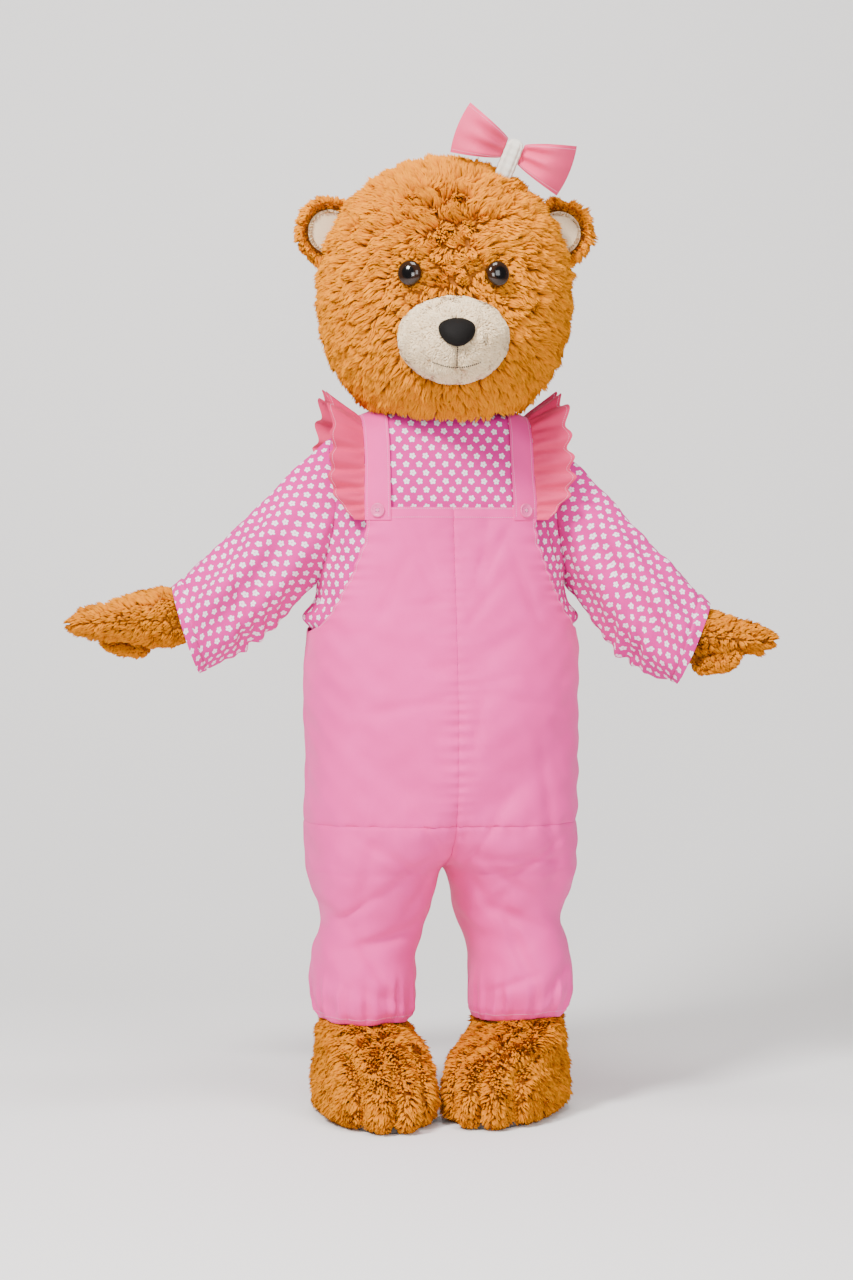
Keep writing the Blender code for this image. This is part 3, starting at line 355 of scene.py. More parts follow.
def placed_group(tree, group, **values):
    """A node group in a material's tree, with its values set or linked by input name."""
    node = tree.nodes.new("ShaderNodeGroup")
    node.node_tree = group
    for key, value in values.items():
        socket = node.inputs[key.replace("_", " ")]
        if isinstance(value, bpy.types.NodeSocket):
            tree.links.new(value, socket)
        else:
            socket.default_value = value
    return node


def set_bump(tree, shader, height, strength, distance):
    node = tree.nodes.new("ShaderNodeBump")
    node.inputs["Strength"].default_value = strength
    node.inputs["Distance"].default_value = distance
    tree.links.new(height, node.inputs["Height"])
    tree.links.new(node.outputs["Normal"], shader.inputs["Normal"])


# Woven cloth: fine twill ribs, slubs in the yarn and a soft unevenness from handling
woven, g_in, g_out = new_group(
    "woven_cloth",
    [("Cut", "NodeSocketVector", None), ("Ribs per Metre", "NodeSocketFloat", 900.0),
     ("Slub", "NodeSocketFloat", 0.5), ("Handling", "NodeSocketFloat", 0.5)],
    [("Shade", "NodeSocketFloat"), ("Height", "NodeSocketFloat")])
split = woven.nodes.new("ShaderNodeSeparateXYZ")
woven.links.new(g_in.outputs["Cut"], split.inputs[0])
slanted = maths(woven, "MULTIPLY_ADD", split.outputs["Y"], 0.8, split.outputs["X"])
ribs = maths(woven, "MULTIPLY", slanted, g_in.outputs["Ribs per Metre"])
rib = maths(woven, "SINE", maths(woven, "MULTIPLY", ribs, 2 * math.pi))
yarn = noise_texture(woven, 420, 3, g_in.outputs["Cut"])
worn = noise_texture(woven, 11, 4, g_in.outputs["Cut"])
slub = maths(woven, "MULTIPLY", maths(woven, "SUBTRACT", yarn, 0.5), g_in.outputs["Slub"])
wear = maths(woven, "MULTIPLY", maths(woven, "SUBTRACT", worn, 0.5), g_in.outputs["Handling"])
shade = maths(woven, "ADD", maths(woven, "ADD", slub, wear), maths(woven, "MULTIPLY_ADD", rib, 0.06, 0.5))
woven.links.new(shade, g_out.inputs["Shade"])
relief = maths(woven, "MULTIPLY_ADD", rib, 0.35, maths(woven, "MULTIPLY", slub, 1.6))
woven.links.new(relief, g_out.inputs["Height"])

# The print: small five-petalled flowers in rows, every other row half a step across, each turned its own way
flowers, g_in, g_out = new_group(
    "flower_print",
    [("Cut", "NodeSocketVector", None), ("Across", "NodeSocketFloat", FLOWER_ACROSS),
     ("Down", "NodeSocketFloat", FLOWER_DOWN), ("Radius", "NodeSocketFloat", FLOWER_RADIUS)],
    [("Petals", "NodeSocketFloat"), ("Rim", "NodeSocketFloat"), ("Heart", "NodeSocketFloat")])
split = flowers.nodes.new("ShaderNodeSeparateXYZ")
flowers.links.new(g_in.outputs["Cut"], split.inputs[0])
down = maths(flowers, "DIVIDE", split.outputs["Y"], g_in.outputs["Down"])
row = maths(flowers, "FLOOR", down)
shift = maths(flowers, "MULTIPLY", maths(flowers, "MODULO", maths(flowers, "ADD", row, 1000.0), 2.0), 0.5)
across = maths(flowers, "ADD", maths(flowers, "DIVIDE", split.outputs["X"], g_in.outputs["Across"]), shift)
cell = flowers.nodes.new("ShaderNodeCombineXYZ")
flowers.links.new(maths(flowers, "FLOOR", across), cell.inputs[0])
flowers.links.new(row, cell.inputs[1])
chance = flowers.nodes.new("ShaderNodeTexWhiteNoise")
chance.noise_dimensions = "2D"
flowers.links.new(cell.outputs[0], chance.inputs["Vector"])
off_across = maths(flowers, "SUBTRACT", maths(flowers, "FRACT", across), 0.5)
off_down = maths(flowers, "SUBTRACT", maths(flowers, "FRACT", down), 0.5)
x = maths(flowers, "MULTIPLY", off_across, g_in.outputs["Across"])
y = maths(flowers, "MULTIPLY", off_down, g_in.outputs["Down"])
squares = maths(flowers, "ADD", maths(flowers, "MULTIPLY", x, x), maths(flowers, "MULTIPLY", y, y))
distance = maths(flowers, "SQRT", squares)
turned = maths(flowers, "MULTIPLY", chance.outputs["Value"], 6.283)
bearing = maths(flowers, "ADD", maths(flowers, "ARCTAN2", y, x), turned)
petal = maths(flowers, "ABSOLUTE", maths(flowers, "COSINE", maths(flowers, "MULTIPLY", bearing, 2.5)))
petal = maths(flowers, "MULTIPLY_ADD", maths(flowers, "POWER", petal, 0.7), 0.42, 0.58)
inside = maths(flowers, "SUBTRACT", maths(flowers, "MULTIPLY", g_in.outputs["Radius"], petal), distance)
heart = maths(flowers, "SUBTRACT", maths(flowers, "MULTIPLY", g_in.outputs["Radius"], 0.24), distance)
for output, depth, grown, steepness in (("Petals", inside, 0.0002, 2500.0), ("Rim", inside, 0.0010, 1400.0),
                                        ("Heart", heart, 0.0002, 2500.0)):
    edge = maths(flowers, "MULTIPLY", maths(flowers, "ADD", depth, grown), steepness)
    edge.node.use_clamp = True
    flowers.links.new(edge, g_out.inputs[output])

rose_print, tree, shader = plain_shader("rose_flower_print", 0.86)
shader.inputs["Specular IOR Level"].default_value = 0.2
shader.inputs["Sheen Weight"].default_value = 0.04
shader.inputs["Sheen Tint"].default_value = (1.0, 0.6, 0.8, 1)
cloth = placed_group(tree, woven, Cut=cut_socket(tree), Ribs_per_Metre=1100.0, Slub=0.5, Handling=0.7)
print_node = placed_group(tree, flowers, Cut=cut_socket(tree))
shaded_rose, lit_rose = tuple(c * 0.78 for c in ROSE), tuple(min(c * 1.2, 1) for c in ROSE)
ground = mixed(tree, cloth.outputs["Shade"], shaded_rose, lit_rose)
rimmed = mixed(tree, print_node.outputs["Rim"], ground, FLOWER_RIM)
white = mixed(tree, cloth.outputs["Shade"], tuple(c * 0.92 for c in FLOWER_WHITE), FLOWER_WHITE)
petalled = mixed(tree, print_node.outputs["Petals"], rimmed, white)
dyed(tree, shader, print_node.outputs["Heart"], petalled, FLOWER_HEART)
set_bump(tree, shader, cloth.outputs["Height"], 0.35, 0.0006)


def blouse_point(turn, height, behind):
    """A point of the blouse's body. turn is 0 at the wearer's left side and pi at the right."""
    wide = along(BLOUSE, "half_width", height)
    deep = along(BLOUSE, "back", height) if behind else along(BLOUSE, "front", height)
    from_side = np.minimum(turn, math.pi - turn)
    pouch = POUCH_OUT * np.exp(-((height - POUCH_HEIGHT) / POUCH_TALL) ** 2 - (from_side / POUCH_TURN) ** 2)
    x = (wide + pouch) * power(np.cos(turn), BODY_SQUARENESS)
    y = deep * power(np.sin(turn), BODY_SQUARENESS) * (1 if behind else -1)
    return np.stack([x, y, height + 0 * turn], axis=-1)


def armhole_turn(height):
    """How far round from the side the armhole's edge lies. It is 0 above and below the armhole."""
    share = np.clip((height - UNDERARM) / (SHOULDER_POINT - UNDERARM), 0, 1)
    return ARMHOLE_TURN * np.sin(math.pi * share) ** 0.7


def blouse_press(turn, height, points, behind):
    """How far the blouse's folds are pressed in."""
    from_side = np.minimum(turn, math.pi - turn) - armhole_turn(height)
    seed = 12 if behind else 11
    body = 0.0012 * (1 + ripple(points, 0.07, seed))
    beside_arm = faded(height, 0.99, 1.08) * (1 - faded(height, 1.22, 1.30))
    folds = 0.006 * bump_at(from_side, math.radians(9), math.radians(3.5)) * beside_arm
    folds += 0.004 * bump_at(from_side, math.radians(19), math.radians(4)) * beside_arm
    bag = bump_at(height, 0.985, 0.030) * bump_at(from_side, 0, math.radians(24))
    folds += 0.004 * bag * (1 + np.sin(turn * 46 + 9 * height))
    return body + folds


blouse_heights = np.concatenate([np.linspace(0.850, 0.925, 5)[:-1], np.linspace(0.925, 1.03, 22)[:-1],
                                 np.linspace(1.03, 1.372, 40)])[:, None]
for blouse_name, behind in (("front", False), ("back", True)):
    start = armhole_turn(blouse_heights)
    turn = start + (math.pi - 2 * start) * np.linspace(0, 1, 71)[None, :]
    outer = blouse_point(turn, blouse_heights, behind)
    outer[..., 1] += GAP / 2 * (1 if behind else -1)
    normal, _ = facing(outer, np.array([0, 0, 1.1]))
    edge_fade = faded(np.minimum(turn - start, math.pi - start - turn), 0, math.radians(4))
    outer = outer - normal * (blouse_press(turn, blouse_heights, outer, behind) * edge_fade)[..., None]
    outer = moved(outer, body_at)
    piece = sheet_of(f"cloth_blouse_{blouse_name}", outer, BLOUSE_CLOTH, np.array([0, 0, -0.2]))
    piece.data.materials.append(rose_print)
    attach(piece, "root")
    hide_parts(f"blouse_{blouse_name}")


# Sleeves
# Wide straight sleeves of the same print, gathered a little at the armhole, with a turned and
# stitched hem. They hang from the arm's upper side and sag below it.
Cuff = namedtuple("Cuff", "across forward height half_height half_depth lean sag")
CUFFS = {
    "left": Cuff(0.482, -0.062, 0.906, 0.082, 0.074, math.radians(22), 0.040),
    "right": Cuff(-0.488, -0.053, 0.932, 0.086, 0.068, math.radians(17), 0.022),
}
SLEEVE_FULLNESS = 0.028
SLEEVE_DRAPES, SLEEVE_DRAPE_DEEP = 5, 0.006
HEM_TURN = 0.945


def armhole_loop(spin, side):
    """The armhole's edge, once round from the underarm by the front and the shoulder point."""
    height = UNDERARM + (SHOULDER_POINT - UNDERARM) * (0.5 - 0.5 * np.cos(spin))
    turn = armhole_turn(height)
    front, rear = blouse_point(turn, height, False), blouse_point(turn, height, True)
    loop = np.where((np.sin(spin) > 0)[..., None], front, rear)
    loop[..., 0] = (loop[..., 0] + 1.5 * GAP) * side
    return moved(loop, Matrix.Rotation(BODY_TURN, 4, "Z"))


def cuff_loop(spin, side, cuff):
    """The sleeve's end: an oval that leans out at the bottom less than at the top."""
    up = -cuff.half_height * np.cos(spin)
    return np.stack([cuff.across + side * up * math.sin(cuff.lean),
                     cuff.forward - cuff.half_depth * np.sin(spin),
                     cuff.height + up * math.cos(cuff.lean)], axis=-1)


def sleeve_point(spin, t, side, cuff):
    """A point of a sleeve: t runs from 0 at the armhole to 1 at the cuff."""
    share = t[..., None]
    full = np.sin(math.pi * t) ** 0.8
    points = armhole_loop(spin, side) * (1 - share) + cuff_loop(spin, side, cuff) * share
    drape = SLEEVE_DRAPE_DEEP * full * np.sin(SLEEVE_DRAPES * spin + 2.1 * t * math.pi)
    points[..., 1] -= (SLEEVE_FULLNESS * full + drape) * np.sin(spin)
    points[..., 2] -= cuff.sag * full ** 1.6 * np.clip(np.cos(spin), 0, 1)
    points[..., 2] += drape * 0.5 * np.abs(np.cos(spin)) * faded(t, 0.1, 0.4)
    return points


def sleeve_relief(spin, t, points, seed):
    """How far a sleeve's folds stand out, and how far they are pressed in where that is less than 0."""
    under = np.clip(np.cos(spin), 0, 1)
    gathers = 0.0028 * np.cos(17 * spin + 0.7) * np.exp(-t / 0.07) * faded(t, 0, 0.02)
    long_folds = 0.0058 * np.sin(7 * spin + 3.3 * t + seed) * np.sin(math.pi * t) ** 0.7 * (1 - 0.5 * under)
    breaks = 0.0045 * np.sin(2 * math.pi * (t / 0.115 + 0.22 * np.sin(2 * spin))) * under
    breaks = breaks * bump_at(t, 0.50, 0.24)
    elbow = -0.009 * bump_at(t - 0.08 * np.sin(spin), 0.56, 0.035) * np.clip(np.sin(spin + 0.9), 0, 1)
    hem = 0.0016 * faded(t, HEM_TURN - 0.006, HEM_TURN) - 0.0030 * bump_at(t, HEM_TURN - 0.010, 0.009)
    return (gathers + long_folds * faded(1 - t, 0, 0.12) + breaks + elbow + hem
            + 0.0022 * ripple(points, 0.075, seed) * faded(1 - t, 0, 0.05) * faded(t, 0, 0.06))


def sleeve_cut(points):
    """Where each point of a sleeve lies on its flat cloth: round the arm from its seam, and along it."""
    row = np.concatenate([points, points[:, :1]], axis=1)
    arm = unit(points[-1].mean(axis=0) - points[0].mean(axis=0))
    step = np.diff(row, axis=1)
    step = step - (step @ arm)[..., None] * arm
    across = np.concatenate([np.zeros((len(row), 1)), np.linalg.norm(step, axis=2).cumsum(axis=1)], axis=1)
    return np.stack([across - across[:, -1:] / 2, (row - row[0].mean(axis=0)) @ arm], axis=-1)


STITCH_LONG, STITCH_STEP, STITCH_WIDE, STITCH_HIGH = 0.0027, 0.0040, 0.0009, 0.0006


def stitch_row(path, normal):
    """Small thread bars along a path on the cloth. Returns their points."""
    walked = np.concatenate([[0], np.linalg.norm(np.diff(path, axis=0), axis=1).cumsum()])
    at = np.arange(STITCH_STEP / 2, walked[-1], STITCH_STEP)
    middle = np.stack([np.interp(at, walked, path[:, k]) for k in range(3)], -1)
    ahead = np.stack([np.interp(at + 1e-3, walked, path[:, k]) for k in range(3)], -1)
    ahead -= np.stack([np.interp(at - 1e-3, walked, path[:, k]) for k in range(3)], -1)
    up = np.stack([np.interp(at, walked, normal[:, k]) for k in range(3)], -1)
    ahead /= np.maximum(np.linalg.norm(ahead, axis=1, keepdims=True), 1e-9)
    up /= np.linalg.norm(up, axis=1, keepdims=True)
    beside = np.cross(up, ahead)
    corners = [(-1, -1, 0), (1, -1, 0), (1, 1, 0), (-1, 1, 0),
               (-0.8, -0.6, 1), (0.8, -0.6, 1), (0.8, 0.6, 1), (-0.8, 0.6, 1)]
    return np.stack([middle + ahead * STITCH_LONG / 2 * a + beside * STITCH_WIDE / 2 * b
                     + up * (STITCH_HIGH * h - 0.0001) for a, b, h in corners], axis=1)


def stitches(name, rows, material):
    """One piece from rows of thread bars."""
    bars = np.concatenate(rows)
    box = np.array([(0, 3, 2, 1), (4, 5, 6, 7), (0, 1, 5, 4), (1, 2, 6, 5), (2, 3, 7, 6), (3, 0, 4, 7)])
    faces = (box[None] + 8 * np.arange(len(bars))[:, None, None]).reshape(-1, 4)
    cut = bars.reshape(-1, 3)[faces.ravel()][:, [0, 2]]
    made = mesh_object(name, bars, faces, cut)
    made.data.materials.append(material)
    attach(made, "root")
    return made


def thread_material(name, colour):
    made, tree, shader = plain_shader(name, 0.6)
    ply = noise_texture(tree, 900, vector=cut_socket(tree))
    dyed(tree, shader, ply, tuple(c * 0.75 for c in colour), colour)
    return made


rose_thread = thread_material("rose_thread", (0.62, 0.12, 0.32))
for side_name, side in SIDES.items():
    cuff = CUFFS[side_name]
    spin, t = np.meshgrid(np.linspace(0, 2 * math.pi, 97)[:-1],
                          np.concatenate([np.linspace(0, 0.93, 56), np.linspace(0.937, 1, 9)]))
    base = sleeve_point(spin, t, side, cuff)
    axis = base.mean(axis=1, keepdims=True)
    normal, _ = facing(base, axis, closed=True)
    outer = base + normal * sleeve_relief(spin, t, base, 31 if side > 0 else 37)[..., None]
    outer[..., 2] -= HOLD
    piece = sheet_of(f"cloth_sleeve_{side_name}", outer, BLOUSE_CLOTH, outer.mean(axis=1, keepdims=True),
                     closed=True, cut=sleeve_cut(outer))
    piece.data.materials.append(rose_print)
    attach(piece, "root")
    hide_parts(f"sleeve_{side_name}")
    row = int(np.argmin(np.abs(t[:, 0] - (HEM_TURN - 0.006)))) + 1
    ring = np.concatenate([outer[row], outer[row, :1]])
    up, _ = facing(outer, outer.mean(axis=1, keepdims=True), closed=True)
    stitches(f"sleeve_hem_stitches_{side_name}", [stitch_row(ring, np.concatenate([up[row], up[row, :1]]))],
             rose_thread)


# Dungarees
# Pale pink cotton twill with a soft sheen: a left and a right half that meet at a centre seam, each
# with a seam across the thigh, a faced bib top, hemmed side openings and elastic at the ankles.
DUNGAREE_CLOTH = 0.0018
Leg = namedtuple("Leg", "height centre half_width front back")
Edge = namedtuple("Edge", "height turn")
Crease = namedtuple("Crease", "face across height slant long wide deep")
LEGS = [
    Leg(0.186, 0.153, 0.0885, 0.1045, 0.0905),
    Leg(0.200, 0.154, 0.095, 0.116, 0.102),
    Leg(0.225, 0.156, 0.100, 0.124, 0.108),
    Leg(0.260, 0.156, 0.102, 0.127, 0.110),
    Leg(0.306, 0.153, 0.099, 0.122, 0.108),
    Leg(0.345, 0.145, 0.099, 0.118, 0.108),
    Leg(0.375, 0.135, 0.101, 0.120, 0.112),
    Leg(0.404, 0.134, 0.110, 0.128, 0.120),
    Leg(0.435, 0.1355, 0.121, 0.140, 0.132),
    Leg(0.470, 0.1325, 0.1315, 0.154, 0.146),
    Leg(0.505, 0.112, 0.151, 0.172, 0.160),
    Leg(0.560, 0.074, 0.189, 0.190, 0.174),
    Leg(0.640, 0.036, 0.226, 0.200, 0.181),
    Leg(0.740, 0.010, 0.252, 0.204, 0.181),
    Leg(0.840, 0.000, 0.262, 0.200, 0.176),
    Leg(0.920, 0.000, 0.258, 0.188, 0.166),
    Leg(0.985, 0.000, 0.2525, 0.176, 0.161),
    Leg(1.060, 0.000, 0.246, 0.163, 0.151),
    Leg(1.165, 0.000, 0.239, 0.147, 0.137),
]
ANKLE_HEM, THIGH_SEAM, BIB_TOP = 0.186, 0.565, 1.165
CROTCH, EDGE_STITCH_LOW, BIB_FACING = 0.4745, 0.936, 0.0235
BIB_LOW, BIB_FOLD_DEEP = 0.94, 0.0035
BIB_EDGE = [
    Edge(0.928, 0), Edge(0.936, 13), Edge(0.952, 24), Edge(0.985, 33),
    Edge(1.040, 42), Edge(1.100, 49), Edge(1.165, 51),
]
ANKLE_GATHERS, ANKLE_GATHER_DEEP, ANKLE_GATHER_TALL = 8, 0.003, 0.030
CREASES = [
    Crease("front", 0.115, 0.640, 38, 0.100, 0.022, 0.008),
    Crease("front", -0.120, 0.655, -42, 0.105, 0.024, 0.008),
    Crease("front", 0.075, 0.905, 24, 0.080, 0.020, 0.005),
    Crease("front", -0.070, 0.890, -20, 0.090, 0.022, 0.005),
    Crease("front", -0.165, 0.470, 80, 0.075, 0.018, 0.009),
    Crease("front", 0.200, 0.455, 98, 0.070, 0.018, 0.009),
    Crease("front", 0.095, 0.420, 60, 0.060, 0.018, 0.007),
    Crease("front", -0.085, 0.360, 25, 0.060, 0.015, 0.008),
    Crease("front", 0.215, 0.270, 52, 0.070, 0.014, 0.009),
    Crease("front", -0.125, 0.235, -18, 0.060, 0.013, 0.006),
    Crease("back", 0.120, 0.600, -40, 0.110, 0.024, 0.008),
    Crease("back", -0.125, 0.615, 36, 0.105, 0.022, 0.008),
    Crease("back", 0.060, 0.930, 15, 0.090, 0.020, 0.005),
    Crease("back", -0.180, 0.380, 24, 0.060, 0.015, 0.009),
    Crease("back", 0.150, 0.365, -22, 0.065, 0.015, 0.009),
    Crease("back", 0.165, 0.500, 78, 0.080, 0.020, 0.008),
]
WRINKLES = [
    Crease("front", -0.055, 0.560, -58, 0.075, 0.009, 0.0065),
    Crease("front", 0.060, 0.550, 60, 0.070, 0.009, 0.0065),
    Crease("front", -0.030, 0.700, -74, 0.080, 0.008, 0.0052),
    Crease("front", 0.032, 0.735, 78, 0.080, 0.008, 0.0048),
    Crease("front", 0.150, 0.500, 35, 0.080, 0.010, 0.0077),
    Crease("front", -0.110, 0.500, -30, 0.080, 0.010, 0.0077),
    Crease("front", 0.105, 0.505, 3, 0.050, 0.007, 0.0043),
    Crease("front", 0.170, 0.500, -6, 0.040, 0.007, 0.0043),
    Crease("front", -0.150, 0.300, -60, 0.080, 0.010, 0.0077),
    Crease("front", 0.130, 0.330, -70, 0.090, 0.011, 0.0080),
    Crease("front", 0.115, 0.255, 20, 0.050, 0.008, 0.0065),
    Crease("front", -0.190, 0.400, 35, 0.050, 0.009, 0.0080),
    Crease("front", 0.035, 0.960, 50, 0.070, 0.010, 0.0039),
    Crease("front", -0.100, 0.790, 10, 0.090, 0.012, 0.0043),
    Crease("front", 0.130, 0.800, -12, 0.090, 0.012, 0.0043),
    Crease("back", 0.070, 0.520, 50, 0.080, 0.010, 0.0077),
    Crease("back", -0.070, 0.520, -50, 0.080, 0.010, 0.0077),
    Crease("back", 0.160, 0.300, -65, 0.080, 0.010, 0.0077),
    Crease("back", -0.150, 0.290, 60, 0.080, 0.010, 0.0077),
    Crease("back", -0.060, 0.850, -15, 0.100, 0.013, 0.0054),
    Crease("back", 0.100, 0.760, 20, 0.100, 0.013, 0.0054),
    Crease("front", 0.048, 0.455, -62, 0.075, 0.011, 0.0080),
    Crease("front", -0.046, 0.450, 58, 0.080, 0.011, 0.0080),
    Crease("front", 0.085, 0.480, -38, 0.085, 0.012, 0.0080),
    Crease("front", -0.090, 0.470, 36, 0.080, 0.012, 0.0072),
    Crease("front", 0.120, 0.385, -24, 0.060, 0.010, 0.0072),
    Crease("front", -0.135, 0.345, 14, 0.065, 0.010, 0.0072),
    Crease("front", 0.180, 0.610, -82, 0.110, 0.014, 0.0065),
    Crease("front", -0.185, 0.620, 84, 0.110, 0.014, 0.0065),
    Crease("front", 0.140, 1.010, -70, 0.080, 0.013, 0.0043),
    Crease("front", -0.120, 1.000, 66, 0.085, 0.013, 0.0043),
    Crease("front", 0.060, 1.080, 84, 0.090, 0.014, 0.0032),
    Crease("front", -0.050, 1.060, -80, 0.090, 0.014, 0.0032),
    Crease("front", 0.070, 1.070, 56, 0.075, 0.012, 0.0045),
    Crease("front", -0.068, 1.075, -57, 0.075, 0.012, 0.0045),
    Crease("front", -0.040, 0.985, 6, 0.050, 0.009, 0.0030),
    Crease("front", -0.035, 0.860, -8, 0.060, 0.010, 0.0030),
    Crease("front", 0.045, 0.835, 9, 0.060, 0.010, 0.0030),
]
PALE_PINK, SHADED_PINK = (0.94, 0.050, 0.36), (0.80, 0.028, 0.27)

pink_twill, tree, shader = plain_shader("pale_pink_twill", 0.58)
shader.inputs["Sheen Weight"].default_value = 0.10
shader.inputs["Sheen Tint"].default_value = (1.0, 0.6, 0.8, 1)
shader.inputs["Specular IOR Level"].default_value = 0.30
cloth = placed_group(tree, woven, Cut=cut_socket(tree), Ribs_per_Metre=760.0, Slub=0.35, Handling=0.9)
dyed(tree, shader, cloth.outputs["Shade"], SHADED_PINK, PALE_PINK)
set_bump(tree, shader, cloth.outputs["Height"], 0.4, 0.0007)


def pressed(points, face, table):
    """How far each point of the dungarees is pressed in by the folds of a table on its face."""
    depth = np.zeros(points.shape[:-1])
    for crease in table:
        if crease.face != face:
            continue
        slant = math.radians(crease.slant)
        dx, dz = points[..., 0] - crease.across, points[..., 2] - crease.height
        lengthways = dx * math.cos(slant) + dz * math.sin(slant)
        sideways = dz * math.cos(slant) - dx * math.sin(slant)
        depth += crease.deep * np.exp(-(lengthways / crease.long) ** 2 - (sideways / crease.wide) ** 2)
    return depth


def seam_turn(height):
    """How far round a half's tube the centre seam lies: pi below the crotch, where it is the inseam."""
    ratio = np.clip(along(LEGS, "centre", height) / along(LEGS, "half_width", height), 0, 1)
    return math.pi - np.arccos(ratio ** (1 / BODY_SQUARENESS))


def dungaree_point(turn, height, side, face):
    """A point of one half of the dungarees. turn is 0 at the side seam."""
    centre, wide = along(LEGS, "centre", height), along(LEGS, "half_width", height)
    deep = along(LEGS, face, height)
    low = 1 - faded(height, ANKLE_HEM, ANKLE_HEM + ANKLE_GATHER_TALL)
    gather = ANKLE_GATHER_DEEP * low * np.cos(ANKLE_GATHERS * turn)
    near_hem = faded(height, ANKLE_HEM, ANKLE_HEM + 0.012) * (1 - faded(height, 0.20, 0.30))
    tucks = 0.0035 * np.cos(19 * turn + 0.6 * np.sin(3 * turn)) + 0.002 * np.cos(31 * turn)
    gather = gather + near_hem * tucks
    x = np.maximum(centre + (wide + gather) * power(np.cos(turn), BODY_SQUARENESS), 0)
    y = (deep + gather) * power(np.sin(turn), BODY_SQUARENESS) * (-1 if face == "front" else 1)
    points = np.stack([side * x, y, height + 0 * turn], axis=-1)
    inwards = pressed(points, face, CREASES) + pressed(points, face, WRINKLES)
    inwards = np.where(height > BIB_LOW, np.minimum(inwards, BIB_FOLD_DEEP), inwards)
    inwards *= np.sin(np.clip(turn, 0, math.pi)) ** 0.5 * (0.35 + 0.65 * faded(x, 0, 0.03))
    points[..., 1] += inwards * (1 if face == "front" else -1)
    return points


def seam_relief(points, turn, face):
    """Seams drawn in and puckered, the bib's raised facing and tucked edge, and a soft unevenness."""
    x, z = points[..., 0], points[..., 2]
    above_crotch = faded(z, 0.47, 0.50)
    near_middle = np.abs(x)
    seam = -0.0022 * bump_at(near_middle, 0, 0.0035) * above_crotch
    tightness = 0.35 + 0.65 * bump_at(z, 0.72, 0.09)
    pucker = 0.0030 * np.sin(2 * math.pi * z / 0.021 + 2 * np.sin(z * 31)) * np.exp(-near_middle / 0.018)
    across = -0.0018 * bump_at(z, THIGH_SEAM, 0.0035)
    rucks = 0.0020 * np.sin(2 * math.pi * x / 0.031 + 3 * np.sin(x * 17))
    rucks *= np.exp(-np.abs(z - THIGH_SEAM) / 0.014)
    side = -0.0016 * bump_at(turn, 0, 0.02)
    facing_edge = BIB_TOP - BIB_FACING
    facing_band = 0.0009 * faded(z, facing_edge, facing_edge + 0.002)
    facing_band -= 0.0010 * bump_at(z, facing_edge, 0.0016)
    casing = -0.0012 * bump_at(z, ANKLE_HEM + 0.014, 0.002)
    soft = 0.0042 * ripple(points, 0.14, 51) * (1 - 0.75 * faded(z, 0.88, 0.98))
    soft += 0.0012 * ripple(points, 0.055, 53)
    edge = np.where(z > BIB_LOW, turn - bib_turn(z), 1)
    tucks = 0.0030 * np.sin(2 * math.pi * z / 0.023 + 2 * np.sin(z * 37)) * np.exp(-edge / 0.09)
    seams = seam + pucker * tightness * above_crotch + across + rucks + side
    return seams + facing_band + casing + soft + tucks


def bib_turn(height):
    """How far round from the side the bib's edge lies. Below the bib it is 0."""
    return np.radians(np.interp(height, [e.height for e in BIB_EDGE], [e.turn for e in BIB_EDGE]))


def dungaree_grid(side, face, heights, columns):
    """A panel's outer points with its folds, and the turn of each."""
    heights = heights[:, None]
    edge = bib_turn(heights)
    turn = edge + (seam_turn(heights) - edge) * np.linspace(0, 1, columns)[None, :]
    outer = dungaree_point(turn, heights + 0 * turn, side, face)
    centre = side * along(LEGS, "centre", heights)
    middle = np.concatenate([centre, 0 * heights, heights], axis=1)[:, None, :]
    normal, _ = facing(outer, middle)
    outer = outer + normal * seam_relief(outer, turn, face)[..., None]
    outer[..., 0] = side * np.maximum(side * outer[..., 0], 0)
    outer[:, -1, 0] = np.where(heights[:, 0] > CROTCH, 0, outer[:, -1, 0])
    behind = 1 if face == "back" else -1
    outer[..., 1] = behind * np.maximum(behind * outer[..., 1], 0)
    outer[..., 0] += side * GAP / 2
    outer[..., 1] += behind * GAP / 2
    outer[..., 2] += GAP / 2 * (1 if heights[-1, 0] > THIGH_SEAM else -1)
    return outer, middle


